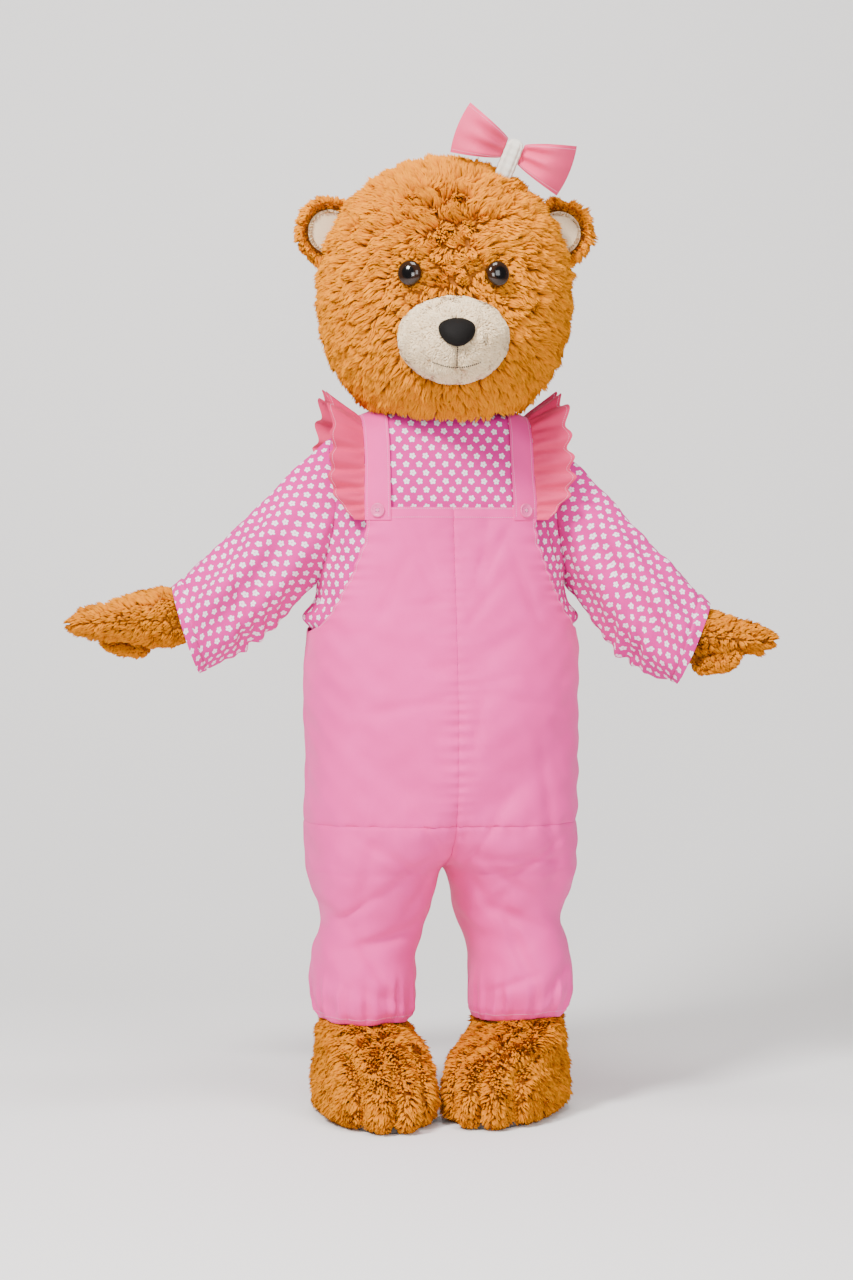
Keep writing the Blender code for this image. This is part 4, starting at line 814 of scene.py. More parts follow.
upper_heights = np.concatenate([np.linspace(THIGH_SEAM, 0.59, 7)[:-1], np.linspace(0.59, 0.925, 84)[:-1],
                                np.linspace(0.925, 0.99, 18)[:-1], np.linspace(0.99, 1.135, 40)[:-1],
                                np.linspace(1.135, BIB_TOP, 12)])
lower_heights = np.concatenate([np.linspace(ANKLE_HEM, 0.22, 10)[:-1], np.linspace(0.22, 0.46, 44)[:-1],
                                np.linspace(0.46, 0.545, 18)[:-1], np.linspace(0.545, THIGH_SEAM, 7)])
pink_thread = thread_material("pink_thread", (0.88, 0.42, 0.60))
bib_rows = []
for side_name, side in SIDES.items():
    for face in ("front", "back"):
        for panel, heights, columns, flat, area in (
                ("body", upper_heights, 46, (0.42, 0.62), 0.187),
                ("leg", lower_heights, 62, (0.40, 0.42), 0.148)):
            outer, middle = dungaree_grid(side, face, heights, columns)
            normal, sign = facing(outer, middle)
            inner = outer - normal * DUNGAREE_CLOTH
            inner[0, :, 2], inner[-1, :, 2] = outer[0, :, 2], outer[-1, :, 2]
            inner[..., 0] = side * np.maximum(side * inner[..., 0], GAP / 2)
            behind = 1 if face == "back" else -1
            inner[..., 1] = behind * np.maximum(behind * inner[..., 1], GAP / 2)
            piece = walled(f"cloth_{panel}_{face}_{side_name}", moved(outer, body_at),
                           moved(inner, body_at), sign)
            piece.data.materials.append(pink_twill)
            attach(piece, "root")
            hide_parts(f"{panel}_{face}_{side_name}")
            if panel == "body":
                for down in (0.003, 0.0195):
                    row = int(np.argmin(np.abs(heights - (BIB_TOP - down))))
                    bib_rows.append(stitch_row(outer[row], normal[row]))
                start = int(np.argmin(np.abs(heights - EDGE_STITCH_LOW)))
                step = outer[start:, 1] - outer[start:, 0]
                share = 0.0055 / np.maximum(np.linalg.norm(step, axis=1), 1e-6)
                bib_rows.append(stitch_row(outer[start:, 0] + step * share[:, None], normal[start:, 1]))
            else:
                row = int(np.argmin(np.abs(heights - (ANKLE_HEM + 0.013))))
                bib_rows.append(stitch_row(outer[row], normal[row]))
bib_rows = [moved(row, body_at) for row in bib_rows]
stitches("dungaree_stitches", bib_rows, pink_thread)


# Straps
# Flat bands of the same twill, doubled and topstitched along both edges. Each runs from the bib's
# top corner over the shoulder to the back of the bib, and is buttoned down in front.
STRAP_INNER, STRAP_OUTER = 0.115, 0.160
STRAP_BOTTOM, STRAP_CLOTH, STRAP_LIFT = 1.140, 0.002, 0.0024
BIB_LIFT = 0.0088


def shoulder_lane(x, count):
    """Points at one distance from the middle, up the chest, over the shoulder and down the back."""
    height = np.linspace(STRAP_BOTTOM, BLOUSE[-1].height, 900)
    wide = along(BLOUSE, "half_width", height)
    height = height[wide > x]
    turn = np.arccos((x / wide[wide > x]) ** (1 / BODY_SQUARENESS))
    front = -along(BLOUSE, "front", height) * np.sin(turn) ** BODY_SQUARENESS
    rear = along(BLOUSE, "back", height) * np.sin(turn) ** BODY_SQUARENESS
    y = np.concatenate([front, rear[::-1]])
    z = np.concatenate([height, height[::-1]])
    walked = np.concatenate([[0], np.cumsum(np.hypot(np.diff(y), np.diff(z)))])
    at = np.linspace(0, walked[-1], count)
    return np.stack([np.full(count, x), np.interp(at, walked, y), np.interp(at, walked, z)], axis=-1)


def strap_lift(count):
    """How far the strap's underside stands off the blouse: over the bib's cloth at both ends."""
    t = np.linspace(0, 1, count)
    over_bib = 1 - faded(np.minimum(t, 1 - t), 0.05, 0.22)
    return STRAP_LIFT + (BIB_LIFT - STRAP_LIFT) * over_bib


def strap_grid(count, lanes):
    """Points of the blouse under a strap, lane by lane, and their normals."""
    grid = np.stack([shoulder_lane(x, count) for x in lanes], axis=1)
    normal = grid_normals(grid, False)
    return grid, normal if normal[count // 2, 0, 2] > 0 else -normal


STRAP_ROWS = 91
share = np.array([0, 0.04, 0.09, 0.13, 0.3, 0.5, 0.7, 0.87, 0.91, 0.96, 1])
lanes = STRAP_INNER + (STRAP_OUTER - STRAP_INNER) * share
grid, normal = strap_grid(STRAP_ROWS, lanes)
lift = strap_lift(STRAP_ROWS)[:, None]
roll = 0.0007 * (bump_at(share, 0.045, 0.04) + bump_at(share, 0.955, 0.04)) - 0.0006 * (
    bump_at(share, 0.10, 0.02) + bump_at(share, 0.90, 0.02))
for side_name, side in SIDES.items():
    mirror = np.array([side, 1, 1])
    soft = 0.0007 * ripple(grid, 0.06, 61 + side)
    high = (grid + normal * (lift + STRAP_CLOTH + roll[None, :] + soft)[..., None]) * mirror
    low = (grid + normal * lift[..., None]) * mirror
    outwards, sign = facing(high, np.array([0, 0, HOLD - 0.25]))
    piece = walled(f"cloth_strap_{side_name}", moved(high, body_at), moved(low, body_at), sign)
    piece.data.materials.append(pink_twill)
    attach(piece, "root")
    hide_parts(f"strap_{side_name}")
    rows = [moved(stitch_row(high[1:-1, k], outwards[1:-1, k]), body_at) for k in (2, 8)]
    stitches(f"strap_stitches_{side_name}", rows, pink_thread)


# Frills
# A gathered frill in each strap's outer seam, of the same cloth but a warmer pink. It stands out
# over the shoulder, is widest on top and narrows towards both ends.
FRILL_REACH, FRILL_WAVES, FRILL_WAVE_DEEP, FRILL_GATHERS = 0.074, 14, 0.010, 29
FRILL_ROWS, FRILL_STITCH_LANE = 341, 9
FRILL_CLOTH, FRILL_END_SHARE, FRILL_ROUNDED = 0.0013, 0.28, 0.16
FRILL_PINK, FRILL_SHADED_PINK = (0.82, 0.026, 0.15), (0.66, 0.014, 0.10)

frill_twill, tree, shader = plain_shader("frill_twill", 0.62)
shader.inputs["Sheen Weight"].default_value = 0.08
shader.inputs["Sheen Tint"].default_value = (1.0, 0.6, 0.7, 1)
cloth = placed_group(tree, woven, Cut=cut_socket(tree), Ribs_per_Metre=760.0, Slub=0.35, Handling=0.9)
dyed(tree, shader, cloth.outputs["Shade"], FRILL_SHADED_PINK, FRILL_PINK)
set_bump(tree, shader, cloth.outputs["Height"], 0.4, 0.0007)


def frill_point(t, reach, grid, normal, lift):
    """A point of the frill: t along the strap's outer edge, reach 0 at the seam and 1 at the hem."""
    count = len(grid)
    spot = t * (count - 1)
    seam = (grid + normal * lift)[:, 0]
    root = np.stack([np.interp(spot, np.arange(count), seam[:, k]) for k in range(3)], -1)
    up = np.stack([np.interp(spot, np.arange(count), normal[:, 0, k]) for k in range(3)], -1)
    top = np.sin(math.pi * t) ** 2
    out = np.array([1.0, 0, 0]) * 0.86 + up * (0.30 + 0.60 * top)[..., None]
    out /= np.linalg.norm(out, axis=-1, keepdims=True)
    from_end = np.minimum(t, 1 - t)
    rounded = np.sin(np.minimum(from_end / FRILL_ROUNDED, 1) * math.pi / 2)
    width = FRILL_REACH * (FRILL_END_SHARE + (1 - FRILL_END_SHARE) * rounded)
    wave = np.sin(2 * math.pi * FRILL_WAVES * t + 0.8 * np.sin(7 * t))
    deep = FRILL_WAVE_DEEP * wave * (0.12 + 0.88 * reach) * faded(from_end, 0.0, 0.08)
    fine = 0.0030 * np.sin(2 * math.pi * FRILL_GATHERS * t + 2 * np.sin(11 * t))
    fine *= (1 - reach) ** 0.6 * faded(reach, 0, 0.12)
    uneven = 0.0022 * np.sin(2 * math.pi * 5.5 * t + 1.3) * reach * faded(from_end, 0, 0.1)
    hem = -0.0006 * bump_at(reach, 0.90, 0.015)
    rise = deep + fine + uneven + hem + STRAP_CLOTH
    return root + out * (width * reach)[..., None] + up * rise[..., None] + np.array([GAP, 0, 0])


grid, normal = strap_grid(241, np.array([STRAP_OUTER - 0.002, STRAP_OUTER]))
grid, normal, lift = grid[:, 1:], normal[:, 1:], strap_lift(241)[:, None, None]
reaches = np.array([0, 0.05, 0.12, 0.22, 0.35, 0.5, 0.65, 0.8, 0.88, 0.92, 0.96, 1.0])
t, reach = np.meshgrid(np.linspace(0, 1, FRILL_ROWS), reaches, indexing="ij")
for side_name, side in SIDES.items():
    outer = moved(frill_point(t, reach, grid, normal, lift) * np.array([side, 1, 1]), body_at)
    outwards, sign = facing(outer, moved(np.array([side * 0.2, 0, HOLD - 0.25]), body_at))
    piece = walled(f"cloth_frill_{side_name}", outer, outer - outwards * FRILL_CLOTH, sign)
    piece.data.materials.append(frill_twill)
    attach(piece, "root")
    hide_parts(f"frill_{side_name}")
    hem = stitch_row(outer[4:-4, FRILL_STITCH_LANE], outwards[4:-4, FRILL_STITCH_LANE])
    stitches(f"frill_stitches_{side_name}", [hem], pink_thread)


# Buttons
# Four-hole pink plastic buttons, turned with a raised rim and sewn on with crossed thread.
BUTTON_RADIUS, BUTTON_THICK, BUTTON_HEIGHT, BUTTON_ACROSS = 0.0135, 0.0045, 1.156, 0.1375
HOLE_OFF, HOLE_RADIUS, BUTTON_DISH, THREAD_SPREAD = 0.0026, 0.0011, 0.62, 0.0004

button_plastic, tree, shader = plain_shader("pink_button_plastic", 0.28)
shader.inputs["Coat Weight"].default_value = 0.12
mottle = noise_texture(tree, 160, 3, cut_socket(tree))
dyed(tree, shader, mottle, (0.72, 0.060, 0.26), (0.84, 0.12, 0.36))
tree.links.new(maths(tree, "MULTIPLY_ADD", mottle, 0.2, 0.2), shader.inputs["Roughness"])
# The holes are thin dark discs on the button's face: painted shade inside the holes.
painted_hole_shade, tree, shader = plain_shader("button_hole_shade", 0.8)
dyed(tree, shader, noise_texture(tree, 300), (0.10, 0.02, 0.04), (0.18, 0.04, 0.08))


def capped(name, rings, spots):
    """A closed solid through rings of points, its first and last ring drawn in to a point."""
    rows, columns = rings.shape[:2]
    row, column = np.meshgrid(np.arange(rows - 1), np.arange(columns), indexing="ij")
    beside = (column + 1) % columns
    a, b = row * columns + column, row * columns + beside
    c, d = (row + 1) * columns + beside, (row + 1) * columns + column
    faces = [np.stack([a, b, c], -1).reshape(-1, 3), np.stack([a, c, d], -1).reshape(-1, 3)]
    k, first, last = np.arange(columns), rows * columns, rows * columns + 1
    faces.append(np.stack([(k + 1) % columns, k, np.full(columns, first)], -1))
    faces.append(np.stack([(rows - 1) * columns + k, (rows - 1) * columns + (k + 1) % columns,
                           np.full(columns, last)], -1))
    faces = np.concatenate(faces)
    ends = [rings[0].mean(axis=0)[None], rings[-1].mean(axis=0)[None]]
    points = np.concatenate([rings.reshape(-1, 3)] + ends)
    across, along_ring = np.gradient(rings, axis=0)[rows // 2, 0], rings[rows // 2, 1] - rings[rows // 2, 0]
    outward = np.cross(along_ring, across) @ (rings[rows // 2, 0] - rings.reshape(-1, 3).mean(axis=0))
    if outward < 0:
        faces = faces[:, ::-1]
    ends = [spots[0].mean(axis=0)[None], spots[-1].mean(axis=0)[None]]
    spots = np.concatenate([spots.reshape(-1, 2)] + ends)
    made = mesh_object(name, points, faces, spots[faces])
    made.data.set_sharp_from_angle(angle=math.radians(50))
    return made


grid, normal = strap_grid(61, BUTTON_ACROSS + np.array([-0.0065, 0, 0.0065]))
spot = int(np.argmin(np.abs(grid[:20, 1, 2] - BUTTON_HEIGHT)))
button_face = normal[spot, 1]
button_place = grid[spot, 1] + button_face * (strap_lift(61)[spot] + STRAP_CLOTH + 1.5 * GAP)
profile = np.array([(0.1, 0.0), (0.93, 0.0), (0.985, 0.18), (1.0, 0.4), (0.995, 0.75), (0.96, 0.93),
                    (0.90, 1.0), (0.83, 0.98), (0.76, 0.86), (0.70, 0.68), (0.62, BUTTON_DISH),
                    (0.2, BUTTON_DISH)])
spin = np.linspace(0, 2 * math.pi, 49)[:-1][None, :]
radius, rise = profile[:, :1] * BUTTON_RADIUS, profile[:, 1:] * BUTTON_THICK
button_rings = np.stack([radius * np.cos(spin), radius * np.sin(spin), rise + 0 * spin], -1)
for side_name, side in SIDES.items():
    face = button_face * np.array([side, 1, 1])
    stand = body_at @ Matrix.Translation(button_place * np.array([side, 1, 1])) @ Euler(
        (0, math.acos(face[2]), math.atan2(face[1], face[0]))).to_matrix().to_4x4()
    outwards = np.array(stand.to_3x3())[:, 2]
    piece = capped(f"button_disc_{side_name}", moved(button_rings, stand), button_rings[..., :2])
    piece.data.materials.append(button_plastic)
    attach(piece, "root")
    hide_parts(f"button_{side_name}")
    level = BUTTON_THICK * BUTTON_DISH
    small = np.linspace(0, 2 * math.pi, 13)[:-1][None, :]
    # Each hole is a dark disc flush with the dish, painting the shade inside it.
    hole_profile = np.array([(0.2, -0.2), (1.0, -0.2), (1.0, 0.05), (0.2, 0.05)])
    for number, (hx, hy) in enumerate([(1, 1), (-1, 1), (-1, -1), (1, -1)]):
        ring = np.stack([hole_profile[:, :1] * HOLE_RADIUS * np.cos(small) + hx * HOLE_OFF,
                         hole_profile[:, :1] * HOLE_RADIUS * np.sin(small) + hy * HOLE_OFF,
                         level + hole_profile[:, 1:] * 0.001 + 0 * small], -1)
        hole = capped(f"button_hole_shade_{side_name}_{number}", moved(ring, stand), ring[..., :2])
        hole.data.materials.append(painted_hole_shade)
        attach(hole, "root")
    threads = []
    for start, end in (((1, 1), (-1, -1)), ((1, -1), (-1, 1))):
        for nudge in (-THREAD_SPREAD, THREAD_SPREAD):
            aside = -nudge * start[0] * start[1]
            path = np.array([(hole[0] * HOLE_OFF + nudge, hole[1] * HOLE_OFF + aside, level + 0.0001)
                             for hole in (start, end)])
            path = np.stack([np.interp(np.linspace(0, 1, 9), [0, 1], path[:, k]) for k in range(3)], -1)
            threads.append(stitch_row(moved(path, stand), np.tile(outwards, (9, 1))))
    stitches(f"button_thread_{side_name}", threads, pink_thread)


# Head
# A foam shell under long golden pile fur, in a front and a back half. The pile is sewn in locks that
# clump together, lie down and outwards from the muzzle and hide the shell.
HEAD_HEIGHT, HEAD_FORWARD, HEAD_ACROSS = 1.5680, 0.03, 0.007
HEAD_TURN, HEAD_NOD = math.radians(4), math.radians(2)
HEAD_HALF_WIDTH, HEAD_HALF_DEPTH, HEAD_HALF_HEIGHT = 0.248, 0.235, 0.268
HEAD_WALL, HEAD_PILE, HEAD_LOCK_LONG = 0.030, 0.021, 0.0295
NECK_RIM_LATITUDE, CHIN_RIM_DROP = math.radians(-54), math.radians(7)
JAW_BULGE, JAW_LAT, JAW_WIDE, JAW_TALL = 0.030, math.radians(-36), math.radians(42), math.radians(24)
MUZZLE_LAT, MUZZLE_HALF_WIDTH, MUZZLE_HALF_TALL, MUZZLE_HIGH = math.radians(-19), 0.108, 0.078, 0.070
EYE_LON, EYE_LAT, EYE_RADIUS, EYE_HIGH = math.radians(19.5), math.radians(7), 0.023, 0.011
# The darkest fur colours sit at the roots of the locks: painted shade deep in the pile.
FUR_ROOT_SHADE, FUR_DEEP, FUR_MIDDLE = (0.18, 0.042, 0.0003), (0.48, 0.132, 0.0004), (0.66, 0.204, 0.0005)
FUR_PALE_MIDDLE, FUR_PALE_TIP = (0.74, 0.245, 0.0006), (0.78, 0.285, 0.0008)
head_at = Matrix.Translation((HEAD_ACROSS, -HEAD_FORWARD, HEAD_HEIGHT - HOLD)) @ Euler(
    (HEAD_NOD, 0, HEAD_TURN)).to_matrix().to_4x4()


def pile_material(name, roughness, dark, light):
    """Fur whose colour runs along each lock, from a root darkened as painted shade to its tip, and differs
    from lock to lock.
    """
    made, tree, shader = plain_shader(name, roughness)
    shader.inputs["Specular IOR Level"].default_value = 0.04
    split = tree.nodes.new("ShaderNodeSeparateXYZ")
    tree.links.new(cut_socket(tree, "OFBake"), split.inputs[0])
    ramps = []
    for colours in (dark, light):
        ramp = tree.nodes.new("ShaderNodeValToRGB")
        for _ in range(len(colours) - 2):
            ramp.color_ramp.elements.new(0.5)
        for element, (stop, colour) in zip(ramp.color_ramp.elements, colours):
            element.position, element.color = stop, (*colour, 1)
        tree.links.new(split.outputs["Y"], ramp.inputs["Fac"])
        ramps.append(ramp.outputs["Color"])
    dyed(tree, shader, split.outputs["X"], ramps[0], ramps[1])
    return made


# Both ramps darken towards the root, painting the shade deep in the pile.
gold_pile = pile_material(
    "gold_pile", 0.75,
    dark=[(0, FUR_ROOT_SHADE), (0.35, FUR_DEEP), (0.75, FUR_MIDDLE), (1, FUR_MIDDLE)],
    light=[(0, FUR_DEEP), (0.3, FUR_MIDDLE), (0.7, FUR_PALE_MIDDLE), (1, FUR_PALE_TIP)])
pile_backing, tree, shader = plain_shader("pile_backing", 0.95)
knit = noise_texture(tree, 260, 4, cut_socket(tree))
dyed(tree, shader, knit, (0.28, 0.072, 0.002), (0.46, 0.15, 0.004))


def head_point(lon, lat, out=0.0):
    """A point of the head, out metres outside its fur. lon is 0 at the front, lat 90 degrees on top."""
    jaw = JAW_BULGE * np.exp(-(lon / JAW_WIDE) ** 2 - ((lat - JAW_LAT) / JAW_TALL) ** 2)
    flat = np.maximum(np.cos(lat), 0) ** 0.94
    rise = power(np.sin(lat), 0.97)
    x = (HEAD_HALF_WIDTH + out) * flat * np.sin(lon)
    y = -(HEAD_HALF_DEPTH + out + jaw) * flat * np.cos(lon)
    z = (HEAD_HALF_HEIGHT + out + 0.4 * jaw) * rise
    return np.stack([x, y, z + 0 * x], axis=-1)


def rim_latitude(lon):
    """The neck opening's edge, which dips under the chin."""
    return NECK_RIM_LATITUDE - CHIN_RIM_DROP * np.exp(-(lon / math.radians(50)) ** 2)


def on_patch(lon, lat, middle_lon, middle_lat, half_wide, half_tall):
    """How far out from a round patch of the face a point lies: 0 in its middle, 1 on its edge."""
    x = (lon - middle_lon) * HEAD_HALF_WIDTH / half_wide
    z = (lat - middle_lat) * HEAD_HALF_HEIGHT / half_tall
    return np.hypot(x, z)


def spread(points, normals, extra, weight, count, rng):
    """Places spread evenly over a grid by its area: their points, normals and extra values."""
    a, b, d = points[:-1, :-1], points[:-1, 1:], points[1:, :-1]
    area = np.linalg.norm(np.cross(b - a, d - a), axis=2) * (weight[:-1, :-1] + weight[1:, 1:]) / 2
    total = area.ravel().cumsum()
    at = (np.arange(count) + rng.random(count)) / count * total[-1]
    row, column = np.unravel_index(np.searchsorted(total, at).clip(0, area.size - 1), area.shape)
    u, v = rng.random((2, count, 1))

    def between(grid):
        low = grid[row, column] * (1 - u) + grid[row, column + 1] * u
        high = grid[row + 1, column] * (1 - u) + grid[row + 1, column + 1] * u
        return low * (1 - v) + high * v
    return between(points), between(normals), between(extra)


def laid_over(normals, heading):
    """A heading laid flat on the surface."""
    return unit(heading - normals * (heading * normals).sum(axis=-1, keepdims=True))


def pile(name, root, out, flow, length, lean, wide, tuft, gather, rng, floor=None):
    """Fur as ridged locks, open below, that taper to a tip and gather into tufts about tuft apart."""
    count = len(root)
    unruly = np.stack([ripple(root, 0.05, 71 + k) for k in range(3)], -1)
    unruly += 0.8 * np.stack([ripple(root, 0.022, 81 + k) for k in range(3)], -1)
    unruly += 0.35 * rng.normal(size=(count, 3))
    way = laid_over(out, flow + 0.33 * unruly)
    lean = np.clip(lean + 0.20 * ripple(root, 0.03, 91) + 0.10 * rng.normal(size=count), 0.15, 1.45)
    length = length * (0.86 + 0.12 * ripple(root, 0.035, 92) + 0.10 * rng.normal(size=count))
    long_way = out * np.cos(lean)[:, None] + way * np.sin(lean)[:, None]
    rising = out * np.cos(0.55 * lean)[:, None] + way * np.sin(0.55 * lean)[:, None]
    middle = root + rising * length[:, None] * 0.52
    tip = root + rising * length[:, None] * 0.45 + long_way * length[:, None] * 0.55
    leaders = rng.permutation(count)[:max(int(count * (wide * 0.8 / tuft) ** 2), 8)]
    tree = kdtree.KDTree(len(leaders))
    for number, leader in enumerate(leaders):
        tree.insert(root[leader], number)
    tree.balance()
    chosen = np.array([tree.find(place)[1] for place in root])
    leader = leaders[chosen]
    pull = gather * (0.7 + 0.3 * rng.random(count))[:, None]
    tip = tip + (tip[leader] - tip) * pull
    middle = middle + (middle[leader] - middle) * pull * 0.45
    ahead = unit(tip - root)
    beside = unit(np.cross(ahead, out) + 1e-4 * rng.normal(size=(count, 3)))
    above = np.cross(ahead, beside)
    twist = 0.35 * rng.normal(size=count)
    points = []
    for centre, share, turned in ((root, 0.5, 150), (root, 0.5, 30), (middle, 0.46, 150), (middle, 0.46, 30),
                                  (middle, 0.44, -90)):
        a = twist + math.radians(turned)
        off = beside * np.cos(a)[:, None] + above * np.sin(a)[:, None]
        points.append(centre + off * (share * wide))
    points = np.stack(points + [tip], axis=1)
    if floor is not None:
        points[..., 2] = np.maximum(points[..., 2], floor)
    corner = np.array([(0, 4, 2), (0, 1, 4), (1, 3, 4), (4, 5, 2), (3, 5, 4)])
    faces = (corner[None] + 6 * np.arange(count)[:, None, None]).reshape(-1, 3)
    shade = 0.5 + 0.17 * rng.normal(size=count) + 0.24 * rng.normal(size=len(leaders))[chosen]
    shade += 0.10 * ripple(root, 0.12, 93)
    shade = np.clip(shade, 0.05, 0.95)
    offset = np.array([-0.006, 0.006, -0.006, 0.006, 0.0, 0.0])
    height = np.array([0.02, 0.02, 0.5, 0.5, 0.5, 0.98])
    spots = np.stack([shade[:, None] + offset, np.tile(height, (count, 1))], -1)
    return mesh_object(name, points, faces, spots.reshape(-1, 2)[faces], "OFBake")


def furred(name, node, grid, normals, extra, weight, count, seed, material, slot_name, styled, **look):
    """One piece of pile fur spread over a grid. styled gives its flow, length and lean at each lock."""
    rng = np.random.default_rng(seed)
    root, out, more = spread(grid, normals, extra, weight, count, rng)
    out = unit(out)
    flow, length, lean = styled(root, out, more)
    fur = pile(name, root, out, flow, length, lean, rng=rng, **look)
    fur.data.materials.append(material)
    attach(fur, "root")
    if node:
        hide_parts(node)


def head_style(root, out, more):
    """Outwards from the muzzle and down. Short round the eyes and the muzzle."""
    lon, lat = more[:, 0], more[:, 1]
    muzzle_middle = moved(head_point(np.array([0.0]), np.array([MUZZLE_LAT + 0.25]), 0.03), head_at)
    flow = 0.7 * unit(root - muzzle_middle) + np.array([0, 0, -0.75])
    flow += 0.5 * np.array([0, 1, 0]) * (lat > 0.9)[:, None]
    from_muzzle = on_patch(lon, lat, 0, MUZZLE_LAT, MUZZLE_HALF_WIDTH, MUZZLE_HALF_TALL)
    above_eyes = (lat - EYE_LAT) * HEAD_HALF_HEIGHT
    near = np.minimum(*[np.hypot((lon - s * EYE_LON) * HEAD_HALF_WIDTH, above_eyes) for s in (1, -1)])
    front = np.abs(lon) < 1.6
    by_eyes, by_muzzle = 0.45 + 0.55 * faded(near, 0.028, 0.062), 0.62 + 0.38 * faded(from_muzzle, 1.0, 1.5)
    cut = np.where(front, by_eyes * by_muzzle, 1)
    lean = 0.80 + 0.12 * (1 - faded(near, 0.02, 0.06)) * front
    return flow, HEAD_LOCK_LONG * cut, lean + 0.25 * (1 - faded(lat, -1.0, -0.6))


for half_name, middle_lon, seed in (("front", 0.0, 101), ("back", math.pi, 102)):
    lon = middle_lon + np.linspace(-math.pi / 2, math.pi / 2, 97)[None, :]
    wrapped = (lon + math.pi) % (2 * math.pi) - math.pi
    climb = np.linspace(0, 1, 91)[:, None] ** 0.97
    lat = rim_latitude(wrapped) + (math.pi / 2 - rim_latitude(wrapped)) * climb
    lat = np.minimum(lat, math.pi / 2 - 0.004)
    lon = lon + 0 * lat
    skin, under = head_point(lon, lat, -HEAD_PILE), head_point(lon, lat, -HEAD_WALL)
    for layer in (skin, under):
        layer[..., 1] += GAP / 2 * (-1 if middle_lon == 0 else 1)
    skin, under = moved(skin, head_at), moved(under, head_at)
    centre = np.array(head_at.translation)
    normal, sign = facing(skin, centre)
    shell = walled(f"head_shell_{half_name}", skin[::2, ::2], under[::2, ::2], sign)
    shell.data.materials.append(pile_backing)
    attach(shell, "root")
    bare = on_patch(wrapped, lat, 0, MUZZLE_LAT, MUZZLE_HALF_WIDTH, MUZZLE_HALF_TALL) < 0.86
    for s in (1, -1):
        bare |= on_patch(wrapped, lat, s * EYE_LON, EYE_LAT, EYE_RADIUS, EYE_RADIUS) < 0.95
    weight = np.where(bare & (middle_lon == 0), 0.0, 1.0)
    extra = np.stack([wrapped + 0 * lat, lat], -1)
    furred(f"head_fur_{half_name}", f"head_{half_name}", skin, normal, extra, weight, 20500, seed, gold_pile,
           "gold_fur", head_style, wide=0.0056, tuft=0.017, gather=0.52)


# Muzzle and nose
# The muzzle is a stuffed dome of short cream pile with a seam down its middle and a stitched mouth.
# The nose is padded black felt, sewn on near the top.
NOSE_HALF_WIDTH, NOSE_HALF_TALL, NOSE_HIGH, NOSE_UP = 0.034, 0.024, 0.016, 0.026
MUZZLE_PILE, MUZZLE_SEAM_DEEP, MUZZLE_LOCK_LONG = 0.0045, 0.005, 0.0085
muzzle_spot = (0.0, MUZZLE_LAT, MUZZLE_HALF_WIDTH, MUZZLE_HALF_TALL, MUZZLE_HIGH)
# Its ramps darken towards the root too, painting the shade deep in the pile.
cream_pile = pile_material(
    "cream_pile", 0.8,
    dark=[(0, (0.60, 0.44, 0.27)), (0.5, (0.74, 0.54, 0.32)), (1, (0.82, 0.62, 0.38))],
    light=[(0, (0.72, 0.54, 0.34)), (0.5, (0.84, 0.65, 0.41)), (1, (0.94, 0.79, 0.57))])


def dome_point(spot, x_share, z_share, out=0.0):
    """A point of a padded dome on the face, from its place across and up the dome's outline."""
    lon, lat, reach_x, reach_z, high = spot
    heading = np.array([math.sin(lon), -math.cos(lon) * math.cos(lat * 0.5), math.sin(lat * 0.5)])
    base = head_point(lon + reach_x / HEAD_HALF_WIDTH * x_share, lat + reach_z / HEAD_HALF_HEIGHT * z_share)
    puff = high * np.sqrt(np.clip(1 - x_share ** 2 - z_share ** 2, 0, 1))
    return base + heading / np.linalg.norm(heading) * (puff + out)[..., None]


def muzzle_crease(x_share, z_share):
    """How deep the muzzle's middle seam pulls in, below the nose."""
    down_the_seam = faded(-z_share, -0.1, 0.15) * (1 - faded(-z_share, 0.55, 0.85))
    return MUZZLE_SEAM_DEEP * bump_at(x_share, 0, 0.05) * down_the_seam


share, spin = np.meshgrid(np.concatenate([[1.0, 0.995, 0.98], np.linspace(0.95, 0.02, 40)]),
                          np.linspace(0, 2 * math.pi, 121)[:-1], indexing="ij")
mx, mz = share * np.cos(spin), share * np.sin(spin)
front = dome_point(muzzle_spot, mx, mz, -MUZZLE_PILE - muzzle_crease(mx, mz))
behind = dome_point(muzzle_spot, mx[:1] * 0.96, mz[:1] * 0.96, np.full(mx[:1].shape, -0.022))
rings = moved(np.concatenate([behind, front]), head_at)
spots = np.stack([mx * MUZZLE_HALF_WIDTH, mz * MUZZLE_HALF_TALL], -1)
core = capped("muzzle_core", rings, np.concatenate([spots[:1], spots]))
cream_backing, tree, shader = plain_shader("cream_backing", 0.95)
knit = noise_texture(tree, 300, vector=cut_socket(tree))
dyed(tree, shader, knit, (0.58, 0.44, 0.27), (0.72, 0.56, 0.38))
core.data.materials.append(cream_backing)
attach(core, "root")
muzzle_grid = rings[1:]
closed_grid = np.concatenate([muzzle_grid, muzzle_grid[:, :1]], axis=1)
muzzle_normal, _ = facing(closed_grid, np.array(head_at.translation))
extra = np.stack([np.concatenate([mx, mx[:, :1]], 1), np.concatenate([mz, mz[:, :1]], 1)], -1)
nose_bare = (extra[..., 0] * MUZZLE_HALF_WIDTH / NOSE_HALF_WIDTH) ** 2 + (
    (extra[..., 1] * MUZZLE_HALF_TALL - NOSE_UP) / NOSE_HALF_TALL) ** 2 < 0.8


